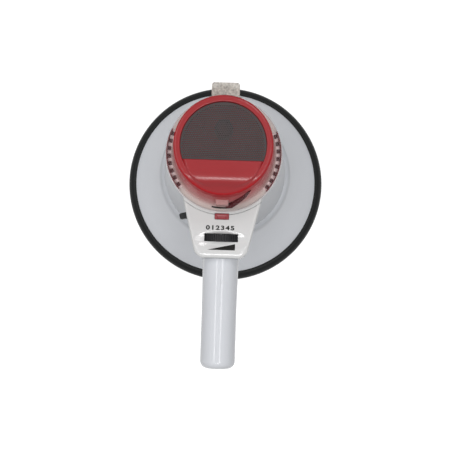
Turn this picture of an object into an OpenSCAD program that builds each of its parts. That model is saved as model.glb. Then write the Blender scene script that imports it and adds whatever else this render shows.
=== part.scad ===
// Handheld megaphone, standing on the mouth of its bell.
// Millimetres. The horn axis is Z, the microphone faces +Z and the grip points along -Y.

/* [Horn] */
// Outer radius of the rubber rim
rim_r = 110.3; // [106:0.1:116]
// Height of the rubber rim
rim_h = 14; // [11:0.5:18]
// Thickness of the rubber around the edge of the bell
rim_lip = 3.4; // [2.6:0.1:4.4]
// Wall of the bell
bell_wall = 2.4; // [1.8:0.1:3]
// Height from the floor to the back of the bell's rear plate
bell_h = 108; // [102:1:118]
// Radius of the bell at its shoulder
shoulder_r = 67; // [65:0.5:72]
// Rounding of the shoulder
shoulder_round = 6; // [4:0.5:8]
// How fast the bell opens towards its mouth
flare_power = 1.35; // [1.1:0.05:1.7]
// Radius of the throat behind the tone tube
throat_r = 12; // [10:0.5:13]
// Radius of the reflector at its open end
reflector_r = 46; // [42:0.5:49]
// Length of the reflector from nose to open end
reflector_len = 64; // [56:1:70]
// Wall of the reflector and the tone tube
horn_wall = 2; // [1.6:0.1:2.4]
// Length of the legs that carry the reflector
leg_h = 21.6; // [18:0.2:26]

/* [Body] */
// Length of the body behind the bell
body_len = 134.5; // [133:0.5:145]
// Radius of the body at the bell
body_front_r = 62; // [59:0.5:63]
// Radius of the body at the rear cover
body_rear_r = 50; // [49:0.1:53]
// Wall of the body
body_wall = 2.4; // [2:0.1:3]
// Thickness of the body's front wall
body_floor = 3; // [2.5:0.1:4]

/* [Driver and power] */
// Radius of the driver's front plate
driver_r = 38; // [36:0.5:40]
// Height of the driver's magnet
magnet_h = 15; // [12:0.5:17]
// Outer radius of the voice coil
coil_r = 13.4; // [12:0.1:14.5]
// Gap between neighbouring battery cells
cell_gap = 1.8; // [1.2:0.1:3]
// Space between the parts on the board and the shelf of the battery tray
parts_gap = 3.6; // [2:0.2:8]
// Number of battery cells
cell_count = 6; // [5:1:6]

/* [Rear cover] */
// How far the clear cover stands out over the body
cover_over = 1.6; // [1:0.1:2.2]
// Wall of the clear cover
cover_wall = 1.4; // [1.2:0.1:1.8]
// Height of the straight foot of the clear cover
cover_foot_h = 6.6; // [5.6:0.2:8]
// Whole height of the clear cover
cover_h = 37.6; // [34:0.2:42]
// Width of the hinge lug
lug_w = 24.4; // [20:0.2:30]
// Radius of the hinge pin
pin_r = 1.5; // [1.2:0.1:1.8]
// Teeth of the comb ring on each side
comb_teeth = 8; // [5:1:10]

/* [Microphone] */
// Width of the clear ring around the microphone head
clear_w = 10.4; // [9.6:0.1:11.4]
// Height of the microphone head
mic_h = 23; // [20:0.5:26]
// How much narrower the microphone head is at its face than at its foot
mic_draft = 0.4; // [0.2:0.1:2]
// Width of the rim around the grille
mic_rim = 5.4; // [5:0.1:6.2]
// Distance of the chin's upper edge below the horn axis
chin_y = 12.4; // [10:0.2:14]
// Distance of the crease below the horn axis
crease_y = 27.6; // [24:0.2:29]
// Slope of the face below the crease, in degrees
chin_slope = 30; // [22:1:34]
// Distance of the capsule above the horn axis
capsule_y = 14; // [12:0.5:18]
// Pitch of the holes in the grille
grille_pitch = 3.4; // [3.3:0.1:4.5]

/* [Grip head] */
// Thickness of the control panel
panel_t = 5; // [4.5:0.1:6]
// Depth of the grip head in front of the panel
head_depth = 42; // [41.5:0.5:46]
// Length of the head below the rear cover
head_len = 39.4; // [38.6:0.2:44]
// Half width of the head where it leaves the body
head_half_w = 33.5; // [32.5:0.5:37]
// Slope of the head's sides, in degrees
head_slope = 13.8; // [10:0.2:14.6]
// Rounding of the head's lower corners
head_corner = 10; // [7:0.5:11]
// Wall of the head
head_wall = 2.4; // [2:0.1:2.8]

/* [Controls] */
// Radius of the volume wheel
wheel_r = 20; // [18:0.5:20.5]
// Width of the volume wheel
wheel_t = 6.2; // [5:0.1:6.6]
// Distance of the wheel below the rear cover
wheel_back = 21.5; // [21:0.1:22]
// How far the wheel stands out of the panel
wheel_out = 3.6; // [2.5:0.1:5]
// Number of ribs on the wheel
wheel_ribs = 60; // [36:2:72]
// Width of the latch button
latch_w = 12.4; // [10:0.2:15]
// Travel of the latch button
latch_travel = 2; // [1:0.1:2.5]
// Travel of the mode knob each way
mode_travel = 3.5; // [2:0.1:3.8]
// Length of the mode knob outside the head
knob_out = 6.8; // [5:0.2:9]

/* [Handle] */
// Radius of the handle
handle_r = 15.5; // [15:0.1:16]
// Length of the handle below the head
handle_len = 97.1; // [84:0.1:114]
// Wall of the handle
handle_wall = 2.6; // [2.2:0.1:2.8]
// Rounding of the handle's end
handle_round = 6.5; // [3:0.5:7]
// Extra radius of the handle where it leaves the head
handle_swell = 0.5; // [0:0.1:1]
// Depth of the handle's axis below the panel
handle_drop = 23; // [22.9:0.1:23.6]
// Width of the talk trigger
trigger_w = 12; // [10:0.2:12.6]
// Length of the talk trigger below its pivot
trigger_len = 30.5; // [28:0.5:36]
// How far the trigger stands out of the handle
trigger_out = 5; // [3.5:0.1:6]
// Turn of the trigger when squeezed, in degrees
trigger_turn = 8; // [5:0.5:8]

/* [Hidden] */
$fn = 96;
// Clearance of seated parts, of moving parts and of pins
fit = 0.1;
gap = 0.4;
pin_fit = 0.05;

// Screws
screw_r = 1.5;
screw_head_r = 2.9;
screw_head_h = 2;
hole_fit = 0.1;

// Heights along the horn axis
edge_z = rim_lip;
flare_z = bell_h - shoulder_round;
plate_z = bell_h - bell_wall;
driver_z = bell_h + body_floor;
joint_z = bell_h + body_len;
gasket_t = 0.8;
cover_z = joint_z + gasket_t + fit;
mic_sunk = 4;
mic_z = cover_z + cover_h - mic_sunk;
face_z = mic_z + mic_h;

// Horn
edge_r = rim_r - rim_lip;
rim_round = 3;
rim_inner_h = 0.6 * rim_h;
open_z = plate_z - leg_h;
nose_z = open_z - reflector_len;
nose_r = 0.65 * reflector_r;
nose_turn = -32;
nose_end = [nose_r * cos(nose_turn), nose_z + nose_r + nose_r * sin(nose_turn)];
tone_z = nose_z + horn_wall + 14;
tone_end_r = throat_r + 5.5;
tone_flange_r = 26;
tone_flange_t = 3;
spigot_r = throat_r + horn_wall;
foot_r = shoulder_r - shoulder_round - 9;
foot_t = 3;
foot_pad_r = 5.5;
leg_t = 3;
boss_h = 14;
horn_screw_len = foot_t + bell_wall + body_floor + boss_h - 4;
driver_screw_ring = 20.5;
driver_plate_t = 6;
driver_screw_len = tone_flange_t + bell_wall + body_floor + driver_plate_t - 1;
board_screw_len = 6;
carrier_screw_len = 8;

// Driver stack behind the body's front wall
membrane_z = driver_z + driver_plate_t;
membrane_t = 0.5;
pole_z = membrane_z + membrane_t + 2.5;
top_plate_t = 5;
magnet_z = pole_z + top_plate_t;
magnet_r = driver_r - 3;
yoke_z = magnet_z + magnet_h;
yoke_t = 6;
can_wall = 1.8;
can_z = yoke_z + yoke_t + 1;
can_r = driver_r + 0.2 + can_wall;
post_ring = driver_r - 4;
post_h = 7;
board_z = can_z + can_wall + post_h;
board_t = 1.6;
board_r = driver_r + 4;
sink_w = 36;
sink_h = 12;
sink_y = 12;
fins = 7;
fin_t = 1.5;
cap_r = 5.5;
cap_h = 11;
cap_pitch = 15;
cap_y = 14;

// Battery tray, between the parts on the board and the rear cover
tray_t = 3;
tray_r = body_rear_r - body_wall - 2.6;
shelf_r = tray_r - 2.5;
shelf_t = 3;
lid_gap = 5.5;
tray_z = board_z + board_t + sink_h + parts_gap + shelf_t;
tray_h = joint_z - lid_gap - tray_z;
spring_h = 4.4;
contact_t = 0.6;
cell_len = tray_h - 2 * tray_t - spring_h - contact_t;
tray_edge = 3.9;
cell_step = sin(180 / cell_count);
cell_r = ((tray_r - tray_edge) * cell_step - cell_gap / 2) / (1 + cell_step);
cell_ring = tray_r - tray_edge - cell_r;
cell_z = tray_z + tray_t + spring_h;

// Rear cover and hinge
cover_r = body_rear_r + cover_over;
mic_r = cover_r - clear_w;
cover_top_r = mic_r + gap + cover_wall;
hinge_y = cover_r + 4.9;
hinge_z = cover_z + 3.6;
knuckle_r = 4;
knuckle_w = lug_w / 2 - 0.2;
lug_end = hinge_y + 4.8;
lug_top = hinge_z + knuckle_r + gap + 2;
carrier_t = 1.8;
carrier_floor = 2;
carrier_r = mic_r + 1.8;
carrier_top_r = mic_r - 3.2;
carrier_ring = mic_r - 14.2;
carrier_hole_r = carrier_ring - 9;
slot_r = cover_r - cover_wall - 1.1;
slot_t = 2;
comb_r = cover_r - cover_wall - fit;
comb_h = cover_foot_h - carrier_floor;
comb_pitch = 8;
comb_middle = -8;
lead_r = 1.8;
// Route of the microphone lead: turn about the horn axis, share of the way out, share of the height
lead_route = [[-57, 0.50, 0.98], [-59, 0.50, 0.88], [-63, 0.50, 0.72], [-69, 0.50, 0.54],
    [-75, 0.50, 0.36], [-80, 0.50, 0.20], [-83, 0.50, 0.08], [-84, 0.50, 0.02]];

// Microphone head
mic_face_r = mic_r - mic_draft;
mic_open_r = mic_face_r - mic_rim;
ledge_w = 2;
ledge_z = face_z - 4;
mic_floor = 2;
mic_wall = 2.6;
mic_rim_h = (mic_face_r - crease_y) * tan(chin_slope) + 2.4;
grille_t = 1;
grille_hole_r = 1.05;
chin_proud = 1.4;
chin_wall = 2.4;
boot_r = 7.6;
boot_h = ledge_z - mic_z - mic_floor - 0.4;
capsule_r = 4.9;
capsule_h = 9;

// Grip head
panel_z = joint_z + 0.5;
panel_round = 3.2;
panel_skin = 2.6;
panel_gap = 0.6;
head_z = panel_z - panel_t;
head_front = head_z - head_depth;
head_ref = body_rear_r - 6.2;
head_top = head_ref - 7.8;
head_bottom = cover_r + head_len;
handle_z = panel_z - handle_drop;
rib_y = cover_r + 6.2;
rib_t = 1.5;
collar_len = 9.8;
plug_r = handle_r - 0.3;
collar_r = plug_r + 2.4;
saddle_z = head_front + head_wall + 3;
saddle_x = 18;
saddle_y = body_rear_r - 4.5;
saddle_len = 15;
panel_screw_y = body_rear_r + 13;
panel_screw_x = half_w(panel_screw_y) - head_wall - 2;
panel_screw_len = 10;
panel_seat = head_z - 7;
grip_screw_x = 7;
grip_screw_y = head_bottom - 4.8;
grip_screw_len = 12;

// Controls
wheel_y = cover_r + wheel_back;
wheel_z = panel_z + wheel_out - wheel_r;
shaft_r = 3;
pot_r = 8.5;
pot_t = 7.5;
latch_d = 5.2;
latch_y = cover_r + panel_gap - 0.2;
latch_top = panel_z + 1;
latch_foot = panel_z - panel_skin - fit;
latch_foot_t = 2.7;
latch_down = latch_foot - latch_foot_t - latch_travel;
rib_z = latch_down - 0.6;
latch_shelf = latch_down - 7.6;
mode_y = body_rear_r + 3;
mode_z = head_front + 26;
stem_w = 4;
stem_h = 5;
knob_w = 5.4;
knob_h = 9;
slider_h = 14;

// Handle
handle_end = head_bottom + handle_len;
handle_top = head_bottom - collar_len - 0.8;
pivot_y = head_bottom + 9.2;
pivot_z = handle_z - 9.5;
trigger_back = pivot_z + 2.5;
swell_y = pivot_y + trigger_len + 5;
web_z = handle_z + 2;
web_t = 2.2;
talk_arm = 10;
talk_y = pivot_y + talk_arm;
plunger_z = trigger_back + talk_arm * sin(trigger_turn) + 0.6;
trigger_spring_y = pivot_y + trigger_len - 8;
hollow_r = 30;
hollow_deep = 1.2;

// Helpers
function lerp(a, b, t) = a + (b - a) * t;
function unit(v) = v / norm(v);
function arc(c, r, a0, a1, n = 6) =
    [for (i = [0:n]) let (a = lerp(a0, a1, i / n)) c + r * [cos(a), sin(a)]];

// Arc that rounds the corner p between its neighbours a and b
function corner(a, p, b, r, n) =
    let (u = unit(a - p), v = unit(b - p))
    let (half = acos(u * v) / 2)
    let (c = p + unit(u + v) * r / sin(half))
    let (s = p + u * r / tan(half) - c, e = p + v * r / tan(half) - c)
    let (a0 = atan2(s.y, s.x), turn = atan2(s.x * e.y - s.y * e.x, s * e))
    arc(c, r, a0, a0 + turn, n);

function rounded(p, radii, n = 5) =
    let (m = len(p))
    [for (i = [0:m - 1]) each radii[i] > 0
        ? corner(p[(i + m - 1) % m], p[i], p[(i + 1) % m], radii[i], n) : [p[i]]];

// Outer radius of the bell and of the body at a height
function flare(z) =
    shoulder_r + (edge_r - shoulder_r) * pow((flare_z - z) / (flare_z - edge_z), flare_power);
function body_r(z) = lerp(body_front_r, body_rear_r, (z - bell_h) / body_len);

// Half width of the grip head at a distance from the horn axis, and its outline
function half_w(y) = head_half_w - (y - head_ref) * tan(head_slope);
function head_outline(inset, top) =
    let (y = head_bottom - inset, side = inset / cos(head_slope))
    let (w0 = half_w(top) - side, w1 = half_w(y) - side, r = head_corner - inset)
    rounded([[-w0, -top], [-w1, -y], [w1, -y], [w0, -top]], [0, r, r, 0]);

// A shape drawn in Y and Z, drawn out along X about the middle plane
module along_x(w)
    translate([-w / 2, 0, 0]) rotate([90, 0, 90]) linear_extrude(w) children();

module ring(r_out, r_in, h)
    difference() {
        cylinder(r = r_out, h = h);
        translate([0, 0, -1]) cylinder(r = r_in, h = h + 2);
    }

// Round bar along X through a point of the middle plane
module cross_bar(r, w, y, z)
    translate([-w / 2, y, z]) rotate([0, 90, 0]) cylinder(r = r, h = w);

// Pan head screw, its head above z = 0 and its shank below
module screw(l)
    rotate_extrude()
    polygon([[0, -l], [screw_r - 0.4, -l], [screw_r, -l + 0.6], [screw_r, 0], [screw_head_r, 0],
        [screw_head_r, 0.6 * screw_head_h], [0.7 * screw_head_r, screw_head_h], [0, screw_head_h]]);

module screw_hole(l)
    translate([0, 0, -l - 0.3]) cylinder(r = screw_r + hole_fit, h = l + 0.8);

module around(count, r, z, turn = 0)
    for (i = [0:count - 1]) rotate(turn + i * 360 / count) translate([r, 0, z]) children();

// Tube along a path
function tangent(p, i) = unit(p[min(i + 1, len(p) - 1)] - p[max(i - 1, 0)]);
function section(p, i, r, n) =
    let (t = tangent(p, i), u = unit(cross(t, [0, 0, 1])), v = cross(u, t))
    [for (k = [0:n - 1]) p[i] + r * (u * cos(360 * k / n) + v * sin(360 * k / n))];

module tube_path(p, r, n) {
    m = len(p);
    last = (m - 1) * n;
    points = [for (i = [0:m - 1]) each section(p, i, r, n)];
    sides = [for (i = [0:m - 2], k = [0:n - 1])
        let (a = i * n + k, b = i * n + (k + 1) % n) each [[a, b, b + n], [a, b + n, a + n]]];
    first_end = [for (k = [1:n - 2]) [0, k + 1, k]];
    last_end = [for (k = [1:n - 2]) [last, last + k, last + k + 1]];
    polyhedron(points, concat(sides, first_end, last_end));
}

module coil_spring(r, wire, h, turns)
    tube_path([for (i = [0:8 * turns])
        [r * cos(45 * i), r * sin(45 * i), lerp(wire, h - wire, i / (8 * turns))]], wire, 6);

// Places of the fasteners
module at_feet() around(4, foot_r, plate_z - foot_t, 45) rotate([180, 0, 0]) children();
module at_driver() around(3, driver_screw_ring, plate_z - tone_flange_t, 90) rotate([180, 0, 0]) children();
module at_board() around(4, post_ring, board_z + board_t) children();
module at_carrier() around(4, carrier_ring, mic_z - carrier_floor, 45) rotate([180, 0, 0]) children();
module at_saddle()
    for (x = [-saddle_x, saddle_x])
        translate([x, -saddle_y, saddle_z]) rotate([-90, 0, 0]) children();
module at_panel()
    for (x = [-panel_screw_x, panel_screw_x])
        translate([x, -panel_screw_y, panel_seat]) rotate([180, 0, 0]) children();
module at_grip()
    for (x = [-grip_screw_x, grip_screw_x])
        translate([x, -grip_screw_y, head_front + 3]) rotate([180, 0, 0]) children();

// Horn
module horn_bell()
    color("#c9cacd")
    difference() {
        rotate_extrude()
        polygon(concat(
            [for (i = [0:18]) let (z = lerp(edge_z, flare_z, i / 18)) [flare(z), z]],
            arc([shoulder_r - shoulder_round, flare_z], shoulder_round, 15, 90, 5),
            [[spigot_r + fit, bell_h], [spigot_r + fit, plate_z]],
            arc([shoulder_r - shoulder_round, flare_z], shoulder_round - bell_wall, 90, 15, 5),
            [for (i = [18:-1:0]) let (z = lerp(edge_z, flare_z, i / 18)) [flare(z) - bell_wall, z]]));
        at_feet() screw_hole(horn_screw_len);
        at_driver() screw_hole(driver_screw_len);
    }

module rim_guard() {
    lip_r = flare(rim_h) + 1;
    inner_r = flare(rim_inner_h) - bell_wall - rim_lip;
    color("#2d2f30")
    rotate_extrude()
    polygon(concat(
        arc([inner_r + rim_round, rim_round], rim_round, 180, 270, 4),
        arc([rim_r - rim_round, rim_round], rim_round, -90, 0, 4),
        [for (a = [10:16:90])
            [lerp(lip_r, rim_r, cos(a)), lerp(rim_round + 2, rim_h, sin(a))]],
        [for (i = [0:6]) let (z = lerp(rim_h, edge_z, i / 6)) [flare(z) + fit, z]],
        [[edge_r + fit, edge_z - fit], [edge_r - bell_wall - fit, edge_z - fit]],
        [for (i = [0:4]) let (z = lerp(edge_z, rim_inner_h, i / 4)) [flare(z) - bell_wall - fit, z]],
        [[inner_r + 1, rim_inner_h], [inner_r, rim_inner_h - 1]]));
}

module tone_tube()
    color("#b9bbbf")
    difference() {
        rotate_extrude()
        polygon([[throat_r, driver_z], [throat_r, plate_z], [tone_end_r, tone_z],
            [tone_end_r + horn_wall, tone_z], [spigot_r + 2, plate_z - tone_flange_t - 2],
            [spigot_r + 4, plate_z - tone_flange_t], [tone_flange_r, plate_z - tone_flange_t],
            [tone_flange_r, plate_z], [spigot_r, plate_z], [spigot_r, driver_z]]);
        at_driver() screw_hole(driver_screw_len);
    }

function cup(t) = [lerp(nose_end.x, reflector_r, 1 - pow(1 - t, 1.4)), lerp(nose_end.y, open_z, t)];

// Re-entrant cup that folds the sound back, on four legs
module reflector()
    color("#c9cacd")
    difference() {
        union() {
            rotate_extrude()
            polygon(concat(
                arc([0, nose_z + nose_r], nose_r, -90, nose_turn, 7),
                [for (i = [1:10]) cup(i / 10)],
                [for (i = [10:-1:1]) cup(i / 10) - [horn_wall, 0]],
                arc([0, nose_z + nose_r], nose_r - horn_wall, nose_turn, -90, 7)));
            around(4, 0, 0, 45) {
                translate([0, leg_t / 2, 0]) rotate([90, 0, 0]) linear_extrude(leg_t)
                polygon([[reflector_r - 2.4, open_z - 8], [reflector_r - 1.4, open_z],
                    [foot_r - 5, plate_z], [foot_r + 4, plate_z], [foot_r + 4, plate_z - foot_t],
                    [foot_r + 1, plate_z - foot_t - 4], [reflector_r + 2.4, open_z + 4],
                    [reflector_r + 0.6, open_z - 8]]);
                translate([foot_r, 0, plate_z - foot_t]) cylinder(r = foot_pad_r, h = foot_t);
            }
        }
        at_feet() {
            screw_hole(horn_screw_len);
            cylinder(r = screw_head_r + 0.6, h = 12);
        }
    }

module horn_screws() color("#c4c6c8") at_feet() screw(horn_screw_len);

module driver_screws() color("#c4c6c8") at_driver() screw(driver_screw_len);

// Driver
module driver_plate()
    color("#8e9093")
    difference() {
        translate([0, 0, driver_z]) cylinder(r = driver_r, h = driver_plate_t);
        translate([0, 0, driver_z - 1]) cylinder(r = throat_r, h = driver_plate_t + 2);
        translate([0, 0, membrane_z - 2]) cylinder(r = driver_r - 8, h = 3);
        at_driver() screw_hole(driver_screw_len);
    }

module diaphragm()
    color("#c9a45a")
    translate([0, 0, membrane_z])
    rotate_extrude()
    polygon([[0, -1.4], [4, -1.2], [8, -0.7], [coil_r - 1, 0], [driver_r - 14, -0.6],
        [driver_r - 10, 0], [driver_r - 3, 0], [driver_r - 3, membrane_t], [driver_r - 10, membrane_t],
        [driver_r - 14, membrane_t - 0.6], [coil_r - 1, membrane_t], [8, membrane_t - 0.7],
        [4, membrane_t - 1.2], [0, membrane_t - 1.4]]);

module voice_coil()
    color("#b87333")
    translate([0, 0, membrane_z + membrane_t]) ring(coil_r, coil_r - 0.5, 9);

module top_plate()
    color("#7d8083")
    rotate_extrude()
    polygon([[coil_r + gap, pole_z], [driver_r - 8, pole_z], [driver_r - 8, membrane_z + membrane_t],
        [driver_r - 3, membrane_z + membrane_t], [driver_r - 3, magnet_z], [coil_r + gap, magnet_z]]);

module magnet()
    color("#3a3b3d")
    translate([0, 0, magnet_z]) ring(magnet_r, coil_r + 4.6, magnet_h);

module yoke() {
    pole_r = coil_r - 0.5 - gap;
    color("#7d8083")
    rotate_extrude()
    polygon([[3, pole_z], [pole_r, pole_z], [pole_r, yoke_z], [magnet_r - 2, yoke_z],
        [magnet_r - 2, yoke_z + yoke_t], [3, yoke_z + yoke_t]]);
}

// Can over the driver, with posts for the amplifier board
module driver_can()
    color("#3c3d40")
    difference() {
        union() {
            rotate_extrude()
            polygon([[0, can_z], [can_r - can_wall, can_z], [can_r - can_wall, driver_z],
                [can_r + 2.4, driver_z], [can_r + 2.4, driver_z + 2], [can_r, driver_z + 2],
                [can_r, can_z + can_wall], [0, can_z + can_wall]]);
            around(4, post_ring, can_z + can_wall) cylinder(r = 3.4, h = post_h);
        }
        at_board() screw_hole(board_screw_len);
    }

// Body
module hinge_arm() {
    along_x(knuckle_w)
    translate([hinge_y, hinge_z])
    polygon([[body_rear_r - hinge_y - 1.4, -18], [3.3, -2.3], [0, 0], [-2.6, -3], [-3.6, -5],
        [body_rear_r - hinge_y - 1.4, -5]]);
    cross_bar(knuckle_r, knuckle_w, hinge_y, hinge_z);
}

module body_cone(grow)
    translate([0, 0, bell_h])
    cylinder(r1 = body_front_r + grow, r2 = body_rear_r + grow, h = body_len);

module body_shell()
    color("#d3d4d8")
    difference() {
        union() {
            rotate_extrude()
            polygon([[spigot_r + fit, bell_h], [body_front_r, bell_h], [body_rear_r, joint_z],
                [body_rear_r - body_wall, joint_z], [body_r(tray_z) - body_wall, tray_z],
                [shelf_r, tray_z], [shelf_r, tray_z - shelf_t],
                [body_r(tray_z - shelf_t) - body_wall, tray_z - shelf_t],
                [body_r(driver_z) - body_wall, driver_z], [spigot_r + fit, driver_z]]);
            around(4, foot_r, driver_z - 0.5, 45) cylinder(r = 4.5, h = boss_h);
            intersection() {
                at_saddle() translate([0, 0, -10]) cylinder(r = 5, h = 10);
                body_cone(0);
            }
            hinge_arm();
        }
        at_feet() screw_hole(horn_screw_len);
        at_driver() screw_hole(driver_screw_len);
        at_saddle() screw_hole(saddle_len);
        cross_bar(pin_r + pin_fit / 2, knuckle_w + 2, hinge_y, hinge_z);
        // Way of the wires into the grip head
        translate([0, -body_rear_r + 8, saddle_z + 12]) rotate([90, 0, 0]) cylinder(r = 5, h = 20);
    }

module amp_board()
    color("#1f5a3c")
    difference() {
        translate([0, 0, board_z]) cylinder(r = board_r, h = board_t);
        at_board() screw_hole(board_screw_len);
    }

module heat_sink()
    color("#aeb1b5")
    translate([-sink_w / 2, sink_y, board_z + board_t]) {
        cube([sink_w, 3, sink_h]);
        for (i = [0:fins - 1])
            translate([i * (sink_w - fin_t) / (fins - 1), 2, 0]) cube([fin_t, 10, sink_h]);
    }

module capacitors()
    color("#23324f")
    for (x = [-cap_pitch, 0, cap_pitch])
        translate([x, -cap_y, board_z + board_t]) cylinder(r = cap_r, h = cap_h);

module board_screws() color("#c4c6c8") at_board() screw(board_screw_len);

// Battery tray
module battery_tray()
    color("#34353a")
    difference() {
        union() {
            translate([0, 0, tray_z]) cylinder(r = tray_r, h = tray_t);
            translate([0, 0, tray_z + tray_h - tray_t]) cylinder(r = tray_r, h = tray_t);
            translate([0, 0, tray_z]) cylinder(r = cell_ring - cell_r - 1.6, h = tray_h);
            around(cell_count, 0, 0, 180 / cell_count)
                translate([cell_ring - cell_r - 3, -0.8, tray_z]) cube([13, 1.6, tray_h]);
            translate([-16, -2, tray_z + tray_h + 1.6]) cube([32, 4, 2.4]);
            for (x = [-16, 13]) translate([x, -2, tray_z + tray_h - 1]) cube([3, 4, 4]);
        }
        around(cell_count, cell_ring, tray_z + tray_h - tray_t - 1) cylinder(r = 7, h = tray_t + 2);
    }

module battery_cells()
    color("#4a6f9c")
    around(cell_count, cell_ring, cell_z) {
        cylinder(r = cell_r, h = cell_len - 2);
        cylinder(r = 3.4, h = cell_len);
    }

module battery_springs()
    color("#c9ccd0")
    around(cell_count, cell_ring, tray_z + tray_t) coil_spring(4.2, 0.4, spring_h, 3);

module battery_contacts()
    color("#d2b25c")
    around(cell_count, cell_ring, cell_z + cell_len) ring(8.6, 2, contact_t);

module cover_gasket()
    color("#2d2f30")
    translate([0, 0, joint_z]) ring(body_rear_r - 0.2, body_rear_r - body_wall, gasket_t);

// Clear rear cover with its hinge lug
module rear_cover() {
    top = cover_z + cover_h;
    foot_top = cover_z + cover_foot_h;
    color("#e6dcdc", 0.45)
    difference() {
        union() {
            rotate_extrude()
            polygon(concat(
                [[0, cover_z], [cover_r - 0.5, cover_z], [cover_r, cover_z + 0.5]],
                [[cover_r, foot_top - 2], [cover_r - 0.3, foot_top]],
                arc([cover_top_r - 0.8, top - 0.8], 0.8, 15, 90, 3), [[0, top]]));
            translate([0, 0, cover_z + 0.3]) linear_extrude(lug_top - cover_z - 0.3)
            polygon(rounded([[-lug_w / 2, cover_r - 4], [lug_w / 2, cover_r - 4],
                [lug_w / 2, lug_end], [-lug_w / 2, lug_end]], [0, 0, 2.6, 2.6]));
        }
        rotate_extrude()
        polygon([[0, cover_z - 1], [cover_r - cover_wall, cover_z - 1], [cover_r - cover_wall, foot_top],
            [mic_r + gap, top - 2.4], [mic_r + gap, top + 1], [0, top + 1]]);
        translate([-knuckle_w / 2 - gap, cover_r - 0.1, cover_z - 1])
            cube([knuckle_w + 2 * gap, 20, hinge_z + knuckle_r + gap - cover_z + 1]);
        cross_bar(pin_r + pin_fit, lug_w + 2, hinge_y, hinge_z);
    }
}

module hinge_pin() color("#b8babd") cross_bar(pin_r, lug_w - 0.6, hinge_y, hinge_z);

// Inner cup that carries the microphone head
module mic_carrier() {
    top = mic_z - carrier_floor;
    color("#dcd9d6")
    difference() {
        union() {
            rotate_extrude()
            polygon([[0, cover_z], [cover_r - cover_wall - fit, cover_z],
                [cover_r - cover_wall - fit, cover_z + carrier_floor],
                [carrier_r, cover_z + carrier_floor],
                [carrier_top_r, top], [mic_r - 0.4, top], [mic_r - 0.4, mic_z], [carrier_hole_r, mic_z],
                [carrier_hole_r, top], [carrier_top_r - carrier_t, top],
                [carrier_r - carrier_t, cover_z + carrier_floor], [0, cover_z + carrier_floor]]);
            // Tab behind the latch
            translate([-4.4, -carrier_top_r - 3.4, top - 16]) cube([8.8, 3, 14]);
        }
        at_carrier() screw_hole(carrier_screw_len);
        // Curved slot over the latch
        intersection() {
            translate([0, 0, cover_z - 1]) ring(slot_r, slot_r - slot_t, carrier_floor + 2);
            translate([-6.6, -cover_r, cover_z - 2]) cube([13.2, 12, carrier_floor + 4]);
        }
    }
}

module comb_ring() {
    half = comb_pitch * comb_teeth / 2;
    color("#7c2a2d")
    translate([0, 0, cover_z + carrier_floor])
    for (side = [0, 1]) mirror([side, 0, 0]) {
        // Wall behind the teeth, on each side of the cover
        intersection() {
            ring(comb_r, comb_r - 1, comb_h);
            linear_extrude(comb_h)
            polygon(concat([[0, 0]], [for (t = [-1, 0, 1])
                let (a = comb_middle + t * half) 1.4 * comb_r * [cos(a), sin(a)]]));
        }
        for (i = [0:comb_teeth - 1])
            rotate(comb_middle + comb_pitch * (i - (comb_teeth - 1) / 2))
            translate([comb_r - 4, -1.6, 0]) cube([3.6, 3.2, 2.6]);
    }
}

// Lead from the microphone to the body, in the space inside the clear cover
module mic_lead() {
    low = cover_z + carrier_floor;
    high = mic_z - carrier_floor;
    color("#6b2c2c")
    tube_path([for (p = lead_route)
        let (z = lerp(low, high, p[2]))
        let (inner = lerp(carrier_r, carrier_top_r, p[2]))
        let (up = max(0, z - low - comb_h) / (high - low - comb_h))
        let (outer = lerp(cover_r - cover_wall, mic_r + gap, up))
        let (r = lerp(inner, outer, p[1]) - (p[2] < 0.15 ? 0.8 : 0))
        [r * cos(p[0]), r * sin(p[0]), z]], lead_r, 8);
}

module carrier_screws() color("#c4c6c8") at_carrier() screw(carrier_screw_len);

// Half space above the sloping lower face of the microphone head
module above_slope(z, y)
    along_x(4 * mic_r)
    polygon([[-y, z], [-y, z + 60], [-y - 60, z + 60], [-y - 60, z - 60 * tan(chin_slope)]]);

module mic_housing()
    color("#a4383c")
    difference() {
        union() {
            rotate_extrude()
            polygon(concat(
                [[8, mic_z], [mic_r - 0.5, mic_z], [mic_r, mic_z + 0.5]],
                arc([mic_face_r - 2, face_z - 2], 2, 0, 90, 5),
                arc([mic_open_r + 0.8, face_z - 0.8], 0.8, 90, 180, 3),
                [[mic_open_r, ledge_z], [mic_open_r - ledge_w, ledge_z],
                    [mic_open_r - ledge_w, face_z - mic_rim_h],
                    [mic_face_r - mic_wall, face_z - mic_rim_h - 3],
                    [mic_face_r - mic_wall, mic_z + mic_floor], [8, mic_z + mic_floor]]));
            around(4, carrier_ring, mic_z + mic_floor - 0.2, 45) cylinder(r = 3.2, h = 5.4);
        }
        above_slope(face_z, crease_y);
        at_carrier() screw_hole(carrier_screw_len);
    }

// Raised chin under the grille
module chin_guard() {
    top = face_z + chin_proud;
    fall = (mic_open_r - crease_y) * tan(chin_slope);
    low = mic_z + mic_floor + fit;
    skirt_r = mic_open_r - ledge_w - 0.3;
    color("#a4383c")
    difference() {
        intersection() {
            union() {
                translate([0, 0, low]) cylinder(r = skirt_r, h = 30);
                translate([0, 0, ledge_z + fit]) cylinder(r = mic_open_r - 0.3, h = 30);
            }
            along_x(3 * mic_r)
            polygon(rounded([[-chin_y - 0.3, low], [-chin_y - 0.3, top - 0.8], [-crease_y, top],
                [-mic_open_r - 1, top - fall - 0.6], [-mic_open_r - 1, low]], [0, 1.6, 6, 0, 0]));
        }
        intersection() {
            translate([0, 0, low - 1]) cylinder(r = skirt_r - chin_wall, h = 30);
            along_x(3 * mic_r)
            polygon([[-chin_y - 0.3 - chin_wall, low - 1], [-chin_y - 0.3 - chin_wall, top - 0.8 - chin_wall],
                [-crease_y, top - chin_wall], [-mic_open_r, top - fall - chin_wall], [-mic_open_r, low - 1]]);
        }
    }
}

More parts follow.
